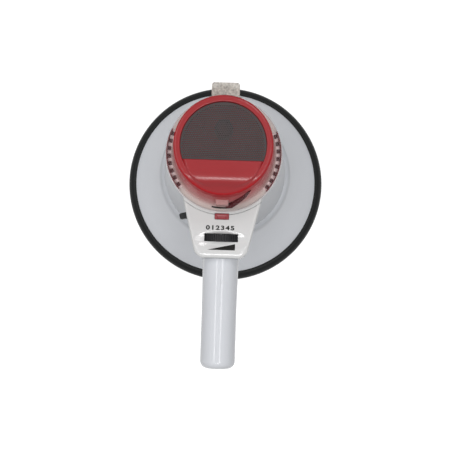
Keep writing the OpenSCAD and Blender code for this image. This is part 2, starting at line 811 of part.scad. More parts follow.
module mic_grille() {
    r = mic_open_r - 0.3;
    rows = ceil(r / (grille_pitch * 0.866));
    color("#4a4544")
    translate([0, 0, ledge_z + fit])
    linear_extrude(grille_t)
    difference() {
        intersection() {
            circle(r = r);
            translate([-r, -chin_y]) square([2 * r, r + chin_y + 1]);
        }
        for (j = [-rows:rows], i = [-rows:rows]) {
            x = grille_pitch * (i + (j % 2 == 0 ? 0 : 0.5));
            y = capsule_y + grille_pitch * 0.866 * j;
            if (norm([x, y]) < r - 3.4 && y > -chin_y + 2.6)
                translate([x, y]) circle(r = grille_hole_r, $fn = 24);
        }
    }
}

module mic_boot()
    color("#1d1e1f")
    translate([0, capsule_y, mic_z + mic_floor])
    difference() {
        cylinder(r = boot_r, h = boot_h);
        translate([0, 0, boot_h - capsule_h - 0.2]) cylinder(r = capsule_r + pin_fit, h = 20);
    }

module mic_capsule()
    color("#9a9da1")
    translate([0, capsule_y, mic_z + mic_floor + boot_h - capsule_h - 0.2])
    cylinder(r = capsule_r, h = capsule_h);

// Left wall of the grip head: X runs out of it and Z stays upright
module on_mode_side()
    translate([-half_w(mode_y), -mode_y, mode_z]) rotate(180 + head_slope) children();

module grip_head()
    color("#d3d4d8")
    difference() {
        union() {
            difference() {
                translate([0, 0, head_front]) linear_extrude(head_depth) polygon(head_outline(0, head_top));
                translate([0, 0, head_front + head_wall])
                    linear_extrude(head_depth) polygon(head_outline(head_wall, head_top - 6));
            }
            intersection() {
                translate([0, 0, head_front + 1])
                    linear_extrude(head_depth - 1) polygon(head_outline(1, head_top));
                union() {
                    // Rib that carries the volume control, and the shelf of the latch spring
                    translate([-40, -rib_y - rib_t, head_front]) cube([80, rib_t, rib_z - head_front]);
                    translate([-7, -rib_y - 1, latch_shelf - 2]) cube([14, 9, 2]);
                    // Collar of the handle
                    translate([0, -head_bottom, handle_z])
                        rotate([-90, 0, 0]) cylinder(r = collar_r, h = collar_len);
                    at_grip() translate([0, 0, -6]) cylinder(r = 4.4, h = 9);
                    at_panel() translate([0, 0, panel_seat - head_z]) cylinder(r = 4, h = head_depth);
                    at_saddle() translate([0, 0, -saddle_len - 2]) cylinder(r = 4.2, h = saddle_len + 2);
                }
            }
        }
        body_cone(fit);
        translate([0, -head_bottom - 1, handle_z])
            rotate([-90, 0, 0]) cylinder(r = plug_r + fit, h = collar_len + 2);
        at_saddle() screw_hole(saddle_len);
        at_panel() {
            screw_hole(panel_screw_len);
            cylinder(r = screw_head_r + 0.4, h = head_depth);
        }
        at_grip() {
            screw_hole(grip_screw_len);
            cylinder(r = screw_head_r + 0.4, h = 10);
        }
        on_mode_side()
            translate([-head_wall - 2, -stem_w / 2 - gap, -stem_h / 2 - mode_travel - gap])
            cube([head_wall + 4, stem_w + 2 * gap, stem_h + 2 * (mode_travel + gap)]);
        // Way of the wires through the rib
        translate([0, -rib_y + 3, saddle_z + 8]) rotate([90, 0, 0]) cylinder(r = 4, h = 8);
    }

module saddle_screws() color("#c4c6c8") at_saddle() screw(saddle_len);

module panel_screws() color("#c4c6c8") at_panel() screw(panel_screw_len);

module grip_screws() color("#c4c6c8") at_grip() screw(grip_screw_len);

module control_panel()
    color("#d6d6d6")
    difference() {
        hull() {
            translate([0, 0, head_z]) linear_extrude(0.01) polygon(head_outline(0, head_top));
            for (a = [0:18:90])
                translate([0, 0, panel_z - panel_round * (1 - sin(a)) - 0.01]) linear_extrude(0.01)
                polygon(head_outline(panel_round * (1 - cos(a)), head_top));
        }
        difference() {
            translate([0, 0, head_z - 1])
                linear_extrude(panel_t - panel_skin + 1) polygon(head_outline(panel_skin, head_top));
            cylinder(r = cover_r + panel_gap + panel_skin, h = face_z);
            at_panel() cylinder(r = 3.8, h = 40, center = true);
        }
        translate([0, 0, head_z - 1]) cylinder(r = cover_r + panel_gap, h = panel_t + 2);
        at_panel() screw_hole(panel_screw_len);
        // Slot of the wheel and its finger recess
        translate([-wheel_slot() / 2, -wheel_y - wheel_t / 2 - gap, head_z - 1])
            cube([wheel_slot(), wheel_t + 2 * gap, panel_t + 2]);
        translate([0, -wheel_y, panel_z - 0.8]) linear_extrude(2)
        polygon(rounded([[-21, -6.6], [21, -6.6], [21, 6.6], [-21, 6.6]], [6.5, 6.5, 6.5, 6.5]));
        // Place of the latch button
        translate([-latch_w / 2 - gap, -latch_y - latch_d - gap, head_z - 1])
            cube([latch_w + 2 * gap, latch_d + 4, panel_t + 2]);
    }

// Length of the slot that the wheel needs at the panel's lower side
function wheel_slot() = 2 * sqrt(pow(wheel_r, 2) - pow(panel_z - panel_skin - wheel_z, 2)) + 2.4;

// Volume control
module volume_wheel()
    color("#303133")
    translate([0, -wheel_y + wheel_t / 2, wheel_z]) rotate([90, 0, 0])
    difference() {
        linear_extrude(wheel_t)
        polygon([for (i = [0:wheel_ribs - 1], q = [[0, 1], [0.45, 1], [0.6, 0.965], [0.85, 0.965]])
            let (a = (i + q[0]) * 360 / wheel_ribs) wheel_r * q[1] * [cos(a), sin(a)]]);
        translate([0, 0, -1]) cylinder(r = shaft_r + 0.02, h = wheel_t + 2);
        translate([0, 0, wheel_t - 1.2]) ring(wheel_r - 3, shaft_r + 3, 2);
    }

module volume_shaft()
    color("#b9bcc0")
    translate([0, -wheel_y - wheel_t / 2, wheel_z]) rotate([-90, 0, 0])
    cylinder(r = shaft_r, h = wheel_y + wheel_t / 2 - rib_y - rib_t - 2.2);

module volume_pot()
    color("#7f8286")
    translate([0, -rib_y - rib_t, wheel_z]) rotate([90, 0, 0])
    difference() {
        union() {
            cylinder(r = pot_r, h = pot_t);
            translate([-6, -pot_r - 4, 0]) cube([12, 8, 1.6]);
        }
        translate([0, 0, 2]) cylinder(r = shaft_r + pin_fit, h = pot_t);
    }

// Latch
module latch_button()
    color("#9c4347")
    difference() {
        union() {
            translate([-latch_w / 2, -latch_y - latch_d, latch_foot - latch_foot_t])
                cube([latch_w, latch_d, latch_top - latch_foot + latch_foot_t]);
            translate([-latch_w / 2 - 1.2, -latch_y - latch_d - 1.2, latch_foot - latch_foot_t])
                cube([latch_w + 2.4, 3, latch_foot_t]);
        }
        // Hollow of the finger
        translate([0, -latch_y - latch_d - 5, latch_top]) rotate([90, 0, 90])
            cylinder(r = 5.8, h = 2 * latch_w, center = true);
    }

module latch_spring()
    color("#c9ccd0")
    translate([0, -latch_y - latch_d / 2 - 0.4, latch_shelf])
    coil_spring(1.9, 0.35, latch_foot - latch_foot_t - latch_shelf, 5);

// Mode switch on the left side of the head
module mode_knob()
    color("#2b2c2e")
    on_mode_side() {
        translate([gap, -knob_w / 2, -knob_h / 2]) cube([knob_out - gap - 1, knob_w, knob_h]);
        translate([knob_out - 2, -knob_w / 2 + 0.6, -knob_h / 2 + 0.6]) cube([2, knob_w - 1.2, knob_h - 1.2]);
        translate([-head_wall - 1.6, -stem_w / 2, -stem_h / 2]) cube([head_wall + 3, stem_w, stem_h]);
        translate([-head_wall - 1.9, -stem_w / 2 - 1.4, -slider_h / 2])
            cube([1.5, stem_w + 2.8, slider_h]);
    }

module mode_switch() {
    reach = slider_h / 2 + mode_travel + gap;
    color("#5a5c60")
    on_mode_side() {
        translate([-head_wall - 6, -2.4, -reach - 2.4]) cube([3.6, 7.2, 2 * reach + 4.8]);
        for (z = [-reach - 2.4, reach]) translate([-head_wall - 3, -2.4, z]) cube([3, 7.2, 2.4]);
    }
}

// Handle
module grip_tube()
    color("#d3d4d8")
    difference() {
        union() {
            translate([0, -handle_end, handle_z]) rotate([-90, 0, 0])
            rotate_extrude()
            polygon(concat(
                [[0, 0]],
                arc([handle_r - handle_round, handle_round], handle_round, -90, 0, 6),
                [[handle_r, handle_end - swell_y], [handle_r + handle_swell, handle_end - head_bottom - fit],
                    [plug_r, handle_end - head_bottom - fit], [plug_r, handle_end - handle_top],
                    [handle_r - handle_wall, handle_end - handle_top],
                    [handle_r - handle_wall, handle_wall + 2], [handle_r - handle_wall - 2, handle_wall],
                    [0, handle_wall]]));
            // Web that carries the talk switch
            intersection() {
                translate([-handle_r, -pivot_y - trigger_len - 4, web_z])
                    cube([2 * handle_r, pivot_y + trigger_len + 4 - handle_top, web_t]);
                translate([0, -handle_end, handle_z]) rotate([-90, 0, 0])
                    cylinder(r = handle_r - handle_wall / 2, h = handle_end);
            }
        }
        translate([-trigger_w / 2 - gap, -pivot_y - trigger_len - 3, handle_z - handle_r - 1])
            cube([trigger_w + 2 * gap, trigger_len + 8, handle_r - 6]);
        cross_bar(pin_r + pin_fit / 2, 2 * handle_r, -pivot_y, pivot_z);
        at_grip() screw_hole(grip_screw_len);
    }

module trigger() {
    front = handle_z - handle_r - trigger_out;
    color("#303133")
    difference() {
        along_x(trigger_w)
        polygon(rounded([[-pivot_y + 3.5, trigger_back], [-pivot_y - trigger_len, trigger_back],
            [-pivot_y - trigger_len, front], [-pivot_y - 4, front],
            [-pivot_y + 3.5, handle_z - handle_r + 1]],
            [2.5, 2, 5, 6, 2]));
        cross_bar(pin_r + pin_fit, trigger_w + 2, -pivot_y, pivot_z);
        // Finger hollow
        cross_bar(hollow_r, trigger_w + 2, -pivot_y - trigger_len / 2 - 2, front - hollow_r + hollow_deep);
    }
}

module trigger_pin()
    color("#b8babd")
    cross_bar(pin_r, 2 * sqrt(pow(handle_r, 2) - pow(handle_z - pivot_z, 2)) - 1, -pivot_y, pivot_z);

module trigger_spring()
    color("#c9ccd0")
    translate([0, -trigger_spring_y, trigger_back]) coil_spring(2.3, 0.35, web_z - trigger_back, 5);

module talk_switch()
    color("#2a2b2d") {
        translate([-3.2, -talk_y - 6, web_z - 5.5]) cube([6.4, 12, 5.5]);
        translate([0, -talk_y, plunger_z]) cylinder(r = 1.2, h = web_z - 4 - plunger_z);
    }

horn_bell();
rim_guard();
tone_tube();
reflector();
horn_screws();
driver_screws();
driver_plate();
diaphragm();
voice_coil();
top_plate();
magnet();
yoke();
driver_can();
body_shell();
amp_board();
heat_sink();
capacitors();
board_screws();
battery_tray();
battery_cells();
battery_springs();
battery_contacts();
cover_gasket();
rear_cover();
mic_carrier();
comb_ring();
mic_lead();
hinge_pin();
carrier_screws();
mic_housing();
chin_guard();
mic_grille();
mic_boot();
mic_capsule();
grip_head();
control_panel();
saddle_screws();
panel_screws();
grip_screws();
volume_wheel();
volume_shaft();
volume_pot();
latch_button();
latch_spring();
mode_knob();
mode_switch();
grip_tube();
trigger();
trigger_pin();
trigger_spring();
talk_switch();
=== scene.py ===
import math

import bpy
import numpy as np
from mathutils import Euler, Matrix, Vector, geometry


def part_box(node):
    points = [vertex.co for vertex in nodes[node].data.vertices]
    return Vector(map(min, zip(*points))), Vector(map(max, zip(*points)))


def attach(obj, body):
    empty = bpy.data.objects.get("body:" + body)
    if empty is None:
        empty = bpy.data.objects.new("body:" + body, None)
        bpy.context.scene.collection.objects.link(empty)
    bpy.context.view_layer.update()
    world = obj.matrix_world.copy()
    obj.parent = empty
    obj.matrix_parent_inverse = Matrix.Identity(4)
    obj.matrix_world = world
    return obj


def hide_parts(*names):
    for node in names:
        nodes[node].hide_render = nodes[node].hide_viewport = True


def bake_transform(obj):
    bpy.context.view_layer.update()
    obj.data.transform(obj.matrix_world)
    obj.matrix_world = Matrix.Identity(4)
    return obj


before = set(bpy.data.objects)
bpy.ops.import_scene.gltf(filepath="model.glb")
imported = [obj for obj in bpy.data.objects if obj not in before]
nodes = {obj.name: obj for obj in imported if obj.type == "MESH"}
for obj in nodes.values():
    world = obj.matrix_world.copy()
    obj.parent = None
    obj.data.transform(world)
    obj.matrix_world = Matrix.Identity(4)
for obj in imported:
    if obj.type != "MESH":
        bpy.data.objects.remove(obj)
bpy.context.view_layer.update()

BODY = "horn_and_grip"
COVER = "cover"

# Sizes of the scene's own pieces, in millimetres, in the frame of the CAD model: the origin is
# the middle of the mouth, +Z runs along the horn and -Y to the handle.
# A name that ends in _Y is a distance towards the handle.
MM = 0.001

# Control panel: outline, thickness and rolled edge
HEAD_BOTTOM_Y = 91.0
HEAD_HALF_W = 33.5
HEAD_REF_Y = 43.8
HEAD_TAN = math.tan(math.radians(13.8))
HEAD_CORNER = 10.0
PANEL_INNER_R = 50.3
PANEL_Z = 243.0
PANEL_T = 5.0
PANEL_SKIN = 2.6
PANEL_ROUND = 1.3
# Soft fall towards the edge: its reach at the sides and at the lower end, and its rate
PILLOW_SIDE, PILLOW_LOW, PILLOW_RATE = 2.6, 6.0, 0.22
PILLOW_LOW_Y, PILLOW_RUN = 76, 10
# Dark line beside the clear cover
TRENCH_R, TRENCH_HALF, TRENCH_DEEP = 53.3, 0.35, 1.5
TRENCH_FLOOR, TRENCH_ENDS = 0.8, (-132, -48)
# Finger dish around the wheel: centre, half axes, depth, share of the half axes that slopes
DISH_CENTRE, DISH_AXES, DISH_DEEP, DISH_SLOPE = (0.4, -75.1), (27.5, 9.0), 1.3, 0.5
WHEEL_Y = 73.1
SLOT_HALF_W, SLOT_HALF_H, SLOT_ROUND = 14.75, 3.5, 0.7
# Rows of mesh points beside the panel's edge, and the width that they take up
EDGE_ROWS, EDGE_ZONE = (0.08, 0.3, 0.65, 1.1, 1.5, 1.9, 2.3, 2.75, 3.3), 3.8

# Prints on the panel
WEDGE = [(-11.9, -83.9), (12.3, -83.9), (12.3, -78.3)]
DIGITS_LOW, DIGITS_HIGH = (-13.6, -66.5), (11.2, -62.5)
DIGITS_BOLD, DIGITS_SPACE = 0.042, 0.5
PRINT_LIFT, WEDGE_SUNK, DIGITS_T = 0.05, 0.25, 0.15

# Latch button with its scoop, and the gap around it
LATCH_HALF_W = 6.2
LATCH_Y = (52.0, 57.2)
LATCH_Z = (237.6, 244.0)
LATCH_GAP, LATCH_HOLE_CORNERS = 0.2, (0.9, 0.9, 0.3, 0.3)
LATCH_CORNER, LATCH_ROUND = 0.7, 0.6
SCOOP_HALF_W, SCOOP_EDGE, SCOOP_DEEP = 4.2, 1.0, 1.5

# Microphone head: housing, posts inside it, and the zone of its wall that follows the crease
MIC_Z = 277.0
FACE_Z = 300.0
MIC_R = 41.2
MIC_FACE_R = 40.8
MIC_OPEN_R = 35.4
MIC_INNER_R = 37.8
MIC_FLOOR = 2.0
MIC_EDGE, MIC_OPEN_EDGE = 2.2, 0.8
WALL_Z = (MIC_Z + 0.6, FACE_Z - 2.4)
# Radii of mesh rings on the flat of the rim and of the floor
RIM_RINGS, FLOOR_RING = (37.6, 36.6), 30.0
LEDGE_Z = 296.0
LEDGE_W, LEDGE_T = 2.0, 6.0
POST_RING = 27.0
POST_R, POST_TOP, POST_EDGE = 3.2, 7.4, 0.4
BEND_Z = (MIC_Z + 4, LEDGE_Z - 2)
# Faces of the housing further out than this, and steeper than this, have the side's look, a brighter
# red that is painted light
SIDE_R, SIDE_STEEP = 38.0, 0.8
# Smallest radius of a turned piece, at the axis
AXIS_R = 0.05

# Chin: crease, tilt of its upper face, flare of its outline, height over the rim and where it fades
CHIN_Y = 12.7
CREASE_Y = 27.6
CREASE_SOFT = 3.8
CHIN_TAN = math.tan(math.radians(30))
CHIN_TILT = 0.8
CHIN_FLARE = 2.6
CHIN_PROUD, CHIN_LIFT, CHIN_SUNK = 1.4, 0.12, 0.25
CHIN_FADE, CHIN_FADE_RUN = 2.5, 5
CHIN_EDGE, CHIN_ROUND, CHIN_T = 2.4, 1.0, 2.4

# Grille sheet with six-sided holes in rows about the capsule
CAPSULE_UP = 14.0
GRILLE_GAP, GRILLE_T, GRILLE_LIFT = 0.3, 1.0, 0.1
GRILLE_PITCH, GRILLE_HOLE, GRILLE_ROWS = 1.75, 0.56, 30
GRILLE_RIM, GRILLE_FOOT = 1.5, 1.3
STAGGER = 0.866

# Cup under the clear cover: flange with a slit, flush cone, tab, painted highlight strips under the
# comb
FLANGE_Z, FLANGE_T, FLANGE_R = 243.4, 2.0, 50.0
FLANGE_TOP = FLANGE_Z + FLANGE_T
SLIT_R, SLIT_HALF = (46.5, 48.0), 11.2
CUP_FOOT_R, CUP_TOP_R, CUP_TOP, CUP_WALL = 44.3, 41.0, MIC_Z - 0.2, 2.0
CUP_FILLET = ((0.7, -0.3), (0.7, 0.1), (0.2, 0.5))
TAB_HALF_W, TAB_Y, TAB_TOP = 5.6, (41.0, 46.2), 266.0
TAB_CORNER, TAB_ROUND, TAB_SUNK = 1.0, 0.8, 0.2
COMB_MIDDLE, COMB_HALF = -8.0, 32.0
HIGHLIGHT_STRIP_R, HIGHLIGHT_STRIP_HALF_T = (45.9, 49.4), 0.2

# Route of the lead, as in the part's source: turn about the axis, distance from it, height
LEAD_ROUTE = ((-57, 39.9, 274.5), (-59, 40.65, 271.5), (-63, 41.9, 266.8), (-69, 43.3, 261.4),
              (-75, 44.65, 256.1), (-80, 45.85, 251.3), (-83, 45.55, 247.8), (-84, 45.7, 246.0))
LEAD_R = 2.4

# Handle, and the skin on its upper side: half angle, thickness, height over the handle
GRIP_Z = 220.0
GRIP_R, GRIP_HEAD_R, GRIP_ROUND, GRIP_TIP_R = 15.5, 16.0, 6.5, 0.3
GRIP_START_Y, GRIP_EVEN_Y, GRIP_END_Y = 91.2, 135.7, 188.1
SKIN_SIDE, SKIN_T, SKIN_LIFT = 75, 0.4, 0.04

# Springs of the latch and the trigger
SPRING_WIRE, SPRING_TURNS, SPRING_STEPS = 0.35, 5, 20

# Borders between the looks of the clear cover and of the comb; the foot's look is a painted
# highlight
LUG_UP, LUG_TOP = 49.5, 253.5
FOOT_R, FOOT_TOP = 51.2, FLANGE_Z + 6.6
COMB_WALL_R = 48.6


# Materials
def srgb(r, g, b):
    """Linear colour for a screen colour of 0 to 255."""
    def one(c):
        c = c / 255
        return c / 12.92 if c <= 0.04045 else ((c + 0.055) / 1.055) ** 2.4
    return (one(r), one(g), one(b), 1.0)


def node(tree, kind, **values):
    """New shader node with its sockets and settings filled in."""
    n = tree.nodes.new(kind)
    for key, value in values.items():
        if key in n.inputs:
            n.inputs[key].default_value = value
        else:
            setattr(n, key, value)
    return n


def noise(tree, coords, scale, detail, stretch=None):
    """Noise over the coordinates, scaled by axis where stretch is given."""
    if stretch:
        m = node(tree, "ShaderNodeMapping", Scale=stretch)
        tree.links.new(coords, m.inputs["Vector"])
        coords = m.outputs["Vector"]
    n = node(tree, "ShaderNodeTexNoise", Scale=scale, Detail=detail)
    tree.links.new(coords, n.inputs["Vector"])
    return n.outputs["Fac"]


def spread(tree, value, low, high, start=0.3, end=0.7):
    """The value's range from start to end, laid over low to high."""
    m = node(tree, "ShaderNodeMapRange")
    for key, limit in (("From Min", start), ("From Max", end), ("To Min", low), ("To Max", high)):
        m.inputs[key].default_value = limit
    tree.links.new(value, m.inputs["Value"])
    return m.outputs["Result"]


def surface(name, colour, rough, mottle=0.03, grain=900, bump=0.1, depth=0.05, scuff=0.03,
            patch=38, stretch=None, **sockets):
    """Principled material: mottled colour, uneven gloss and a moulded or drawn grain."""
    mat = bpy.data.materials.new(name)
    mat.use_nodes = True
    tree = mat.node_tree
    shader = tree.nodes["Principled BSDF"]
    for key, value in sockets.items():
        shader.inputs[key.replace("_", " ")].default_value = value
    coords = node(tree, "ShaderNodeTexCoord").outputs["Object"]
    tint = node(tree, "ShaderNodeHueSaturation", Color=colour)
    patches = noise(tree, coords, scale=patch, detail=5)
    tree.links.new(spread(tree, patches, 1 - mottle, 1 + mottle), tint.inputs["Value"])
    tree.links.new(tint.outputs["Color"], shader.inputs["Base Color"])
    wiped = noise(tree, coords, scale=45, detail=6)
    tree.links.new(spread(tree, wiped, rough - scuff / 2, rough + scuff, 0.35, 0.75),
                   shader.inputs["Roughness"])
    b = node(tree, "ShaderNodeBump", Strength=bump, Distance=depth * MM)
    tree.links.new(noise(tree, coords, grain, 2, stretch), b.inputs["Height"])
    tree.links.new(b.outputs["Normal"], shader.inputs["Normal"])
    return mat


WHITE = surface("white_plastic", srgb(204, 206, 210), rough=0.17, mottle=0.010, grain=1500,
                bump=0.03, depth=0.02, scuff=0.015)
GRIP = surface("grip_plastic", srgb(204, 206, 210), rough=0.07, mottle=0.010, grain=1500, bump=0.03,
               depth=0.02, scuff=0.01)
# The bell's white is brighter than the white of the other parts: painted light that lifts its sloped
# flare.
HORN_LIT = surface("horn_plastic_lit", srgb(236, 238, 242), rough=0.48, mottle=0.012, grain=1300, bump=0.05,
               depth=0.03, scuff=0.02, Specular_IOR_Level=0.2)
# A slightly darker copy of the white plastic for the steep body: painted shade.
SHELL_SHADED = surface("shell_plastic_shaded", srgb(202, 204, 208), rough=0.42, mottle=0.012, grain=1300,
                bump=0.05, depth=0.03, scuff=0.02, Specular_IOR_Level=0.25)
PANEL = surface("panel_plastic", srgb(203, 203, 202), rough=0.14, mottle=0.010, grain=1500,
                bump=0.04, depth=0.02, scuff=0.02)
# The cup's colour is painted light, laid by distance from the axis below.
CARRIER_REFLECTION_AND_SHADE = surface("carrier_reflection_and_shade", srgb(190, 165, 162), rough=0.42, mottle=0.02,
                  Specular_IOR_Level=0.25)
RED = surface("red_plastic", srgb(147, 31, 36), rough=0.20, mottle=0.03, grain=1200, bump=0.06,
              depth=0.03, Specular_IOR_Level=0.36)
# Lit copy of the red plastic for the housing's steep side: a brighter base as painted light, with
# less gloss.
RED_WALL_LIT = surface("red_plastic_side_lit", srgb(172, 38, 43), rough=0.55, mottle=0.03, grain=1200,
                   bump=0.06, depth=0.03, Specular_IOR_Level=0.06)
CUP_TAB = surface("cup_tab_plastic", srgb(190, 144, 141), rough=0.42, mottle=0.02,
                  Specular_IOR_Level=0.25)
CUP_FLOOR = surface("cup_floor_plastic", srgb(204, 199, 196), rough=0.42, mottle=0.02,
                    Specular_IOR_Level=0.25)
COMB = surface("comb_red", srgb(72, 14, 20), rough=0.35, mottle=0.06, Specular_IOR_Level=0.2)
COMB_WALL = surface("comb_wall_red", srgb(104, 36, 41), rough=0.35, mottle=0.06,
                    Specular_IOR_Level=0.2)
# Pale paint for the strips under the comb's teeth: a painted highlight of the clear wall in the
# gaps.
COMB_HIGHLIGHT = surface("comb_highlight_paint", srgb(246, 222, 221), rough=0.35, mottle=0.03,
                   Specular_IOR_Level=0.25)
LATCH = surface("latch_red", srgb(138, 36, 44), rough=0.34, mottle=0.05)
CLEAR = surface("clear_plastic", srgb(112, 98, 97), rough=0.06, mottle=0.03, grain=700, bump=0.10,
                depth=0.04, Alpha=0.045, Specular_IOR_Level=0.3)
# Pale sheet over the clear cover's foot: a painted highlight of its edge.
FOOT_HIGHLIGHT = surface("clear_foot_highlight", srgb(232, 222, 221), rough=0.25, mottle=0.05, grain=700, bump=0.10,
               depth=0.04, Alpha=0.55, Specular_IOR_Level=0.3)
FROSTED = surface("frosted_plastic", srgb(204, 199, 189), rough=0.40, mottle=0.42, grain=420,
                  bump=0.9, depth=0.3, patch=520, Alpha=0.72)
RUBBER = surface("black_rubber", srgb(18, 20, 20), rough=0.46, mottle=0.12, grain=1700, bump=0.30,
                 depth=0.07, Specular_IOR_Level=0.16)
SEAL = surface("seal_rubber", srgb(120, 119, 117), rough=0.55, mottle=0.06)
BLACK = surface("black_plastic", srgb(30, 30, 32), rough=0.42, mottle=0.08, grain=1500, bump=0.25,
                depth=0.06, Specular_IOR_Level=0.25)
PRINT = surface("print_ink", srgb(23, 23, 21), rough=0.45, mottle=0.08, grain=2200, bump=0.1,
                depth=0.02, Specular_IOR_Level=0.2)
LEAD = surface("lead_rubber", srgb(80, 15, 22), rough=0.45, mottle=0.08, Specular_IOR_Level=0.2)
GRILLE = surface("grille_paint", srgb(71, 61, 61), rough=0.45, mottle=0.06, grain=1800, bump=0.2,
                 depth=0.04, Specular_IOR_Level=0.25)
CAPSULE = surface("capsule_felt", srgb(26, 26, 27), rough=0.85, mottle=0.12, grain=2500, bump=0.6,
                  depth=0.1)
GREY = surface("grey_plastic", srgb(176, 178, 182), rough=0.40, mottle=0.03)
STEEL = surface("steel", srgb(186, 188, 190), rough=0.30, mottle=0.05, grain=600, bump=0.15,
                depth=0.03, stretch=(1, 1, 12), Metallic=1.0)
IRON = surface("iron", srgb(138, 140, 143), rough=0.45, mottle=0.08, grain=500, bump=0.2,
               depth=0.05, Metallic=0.9)
ALUMINIUM = surface("aluminium", srgb(190, 192, 196), rough=0.35, mottle=0.05, grain=700, bump=0.15,
                    depth=0.03, stretch=(1, 14, 1), Metallic=1.0)
FERRITE = surface("ferrite", srgb(52, 53, 56), rough=0.7, mottle=0.12, grain=800, bump=0.4,
                  depth=0.1)
MEMBRANE = surface("membrane", srgb(196, 158, 88), rough=0.35, mottle=0.06)
COPPER = surface("copper", srgb(184, 112, 58), rough=0.35, mottle=0.08, grain=2500, bump=0.5,
                 depth=0.1, stretch=(0.1, 0.1, 1), Metallic=1.0)
BOARD = surface("board", srgb(30, 88, 58), rough=0.45, mottle=0.2)
SLEEVE = surface("sleeve_blue", srgb(58, 92, 140), rough=0.28, mottle=0.05, Metallic=0.4)
BRASS = surface("contact_brass", srgb(206, 172, 92), rough=0.32, mottle=0.06, Metallic=1.0)


def fade_by_radius(mat, stops):
    """Colours of the material by distance from the horn axis, in millimetres."""
    tree = mat.node_tree
    coords = next(n for n in tree.nodes if n.type == "TEX_COORD").outputs["Object"]
    tint = next(n for n in tree.nodes if n.type == "HUE_SAT")
    flat = node(tree, "ShaderNodeVectorMath", operation="MULTIPLY")
    flat.inputs[1].default_value = (1, 1, 0)
    size = node(tree, "ShaderNodeVectorMath", operation="LENGTH")
    ramp = node(tree, "ShaderNodeValToRGB")
    low, high = stops[0][0], stops[-1][0]
    marks = ramp.color_ramp.elements
    marks[0].color, marks[1].color = stops[0][1], stops[-1][1]
    for r, colour in stops[1:-1]:
        marks.new((r - low) / (high - low)).color = colour
    tree.links.new(coords, flat.inputs[0])
    tree.links.new(flat.outputs[0], size.inputs[0])
    share = spread(tree, size.outputs["Value"], 0, 1, low * MM, high * MM)
    tree.links.new(share, ramp.inputs["Fac"])
    tree.links.new(ramp.outputs["Color"], tint.inputs["Color"])


# Painted light on the pale cup: a red reflection of the head beside it, painted shade beside the
# slit, and its own pale colour at its foot
fade_by_radius(CARRIER_REFLECTION_AND_SHADE, [(40.9, srgb(178, 44, 49)), (42.0, srgb(190, 62, 66)),
                         (43.0, srgb(206, 122, 122)), (44.4, srgb(208, 164, 160)),
                         (45.0, srgb(182, 150, 147)), (47.0, srgb(204, 190, 185)),
                         (50.2, srgb(212, 206, 200))])
# Painted shade: the bell is darker at its neck, where the steep shoulder falls in shade
fade_by_radius(HORN_LIT, [(60.0, srgb(196, 198, 202)), (66.0, srgb(198, 200, 204)),
                      (69.0, srgb(236, 238, 242)), (112.0, srgb(236, 238, 242))])

LOOKS = {
    WHITE: ["grip_head", "grip_tube"],
    SHELL_SHADED: ["body_shell"],
    HORN_LIT: ["horn_bell", "reflector"],
    GREY: ["tone_tube", "mode_switch"],
    PANEL: ["control_panel"],
    CARRIER_REFLECTION_AND_SHADE: ["mic_carrier"],
    RED: ["mic_housing", "chin_guard"],
    COMB: ["comb_ring"],
    LATCH: ["latch_button"],
    CLEAR: ["rear_cover"],
    RUBBER: ["rim_guard", "mic_boot"],
    SEAL: ["cover_gasket"],
    BLACK: ["volume_wheel", "mode_knob", "trigger", "talk_switch", "battery_tray"],
    LEAD: ["mic_lead"],
    GRILLE: ["mic_grille", "driver_can"],
    CAPSULE: ["mic_capsule"],
    STEEL: ["horn_screws", "driver_screws", "board_screws", "battery_springs", "hinge_pin",
            "carrier_screws", "saddle_screws", "panel_screws", "grip_screws", "volume_shaft",
            "latch_spring", "trigger_pin", "trigger_spring"],
    IRON: ["driver_plate", "top_plate", "yoke", "volume_pot"],
    ALUMINIUM: ["heat_sink"],
    FERRITE: ["magnet"],
    MEMBRANE: ["diaphragm"],
    COPPER: ["voice_coil"],
    BOARD: ["amp_board"],
    SLEEVE: ["battery_cells", "capacitors"],
    BRASS: ["battery_contacts"],
}


def dress(obj, mat):
    """Give the object one material."""
    obj.data.materials.clear()
    obj.data.materials.append(mat)


def paint(obj, looks, pick):
    """Add looks. pick gives each face's slot from its centre, in millimetres, and its normal."""
    for mat in looks:
        obj.data.materials.append(mat)
    for face in obj.data.polygons:
        face.material_index = pick(face.center / MM, face.normal)


for look, names in LOOKS.items():
    for n in names:
        dress(nodes[n], look)


# Mesh helpers, in millimetres
def add_piece(name, verts, faces, mat, body, stands_for=(), crease=38):
    """A new piece that rides on a body, if one is given, and stands for CAD nodes."""
    me = bpy.data.meshes.new(name)
    me.from_pydata([tuple(float(c) * MM for c in v) for v in verts], [], faces)
    me.shade_smooth()
    me.set_sharp_from_angle(angle=math.radians(crease))
    o = bpy.data.objects.new(name, me)
    bpy.context.scene.collection.objects.link(o)
    dress(o, mat)
    if body:
        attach(o, body)
    if stands_for:
        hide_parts(*stands_for)
    return o


def polar(r, angle):
    """Point at a distance and an angle in degrees."""
    return r * math.cos(math.radians(angle)), r * math.sin(math.radians(angle))


def arc(r, start, end, step=0.8, x=0.0, y=0.0, n=None):
    """Points of an arc about (x, y), angles in degrees, with n parts or parts of about step."""
    n = n or max(2, math.ceil(math.radians(abs(end - start)) * r / step))
    spots = [polar(r, start + (end - start) * k / n) for k in range(n + 1)]
    return [(x + px, y + py) for px, py in spots]


def block(half, near, far):
    """Corners of a rectangle across the middle line, from near to far towards the handle."""
    return [(-half, -far), (half, -far), (half, -near), (-half, -near)]


def dense(loop, step):
    """The closed loop with its long edges divided."""
    out = []
    for p, q in zip(loop, loop[1:] + loop[:1]):
        n = max(1, math.ceil(math.dist(p, q) / step))
        out += [(p[0] + (q[0] - p[0]) * i / n, p[1] + (q[1] - p[1]) * i / n) for i in range(n)]
    return out


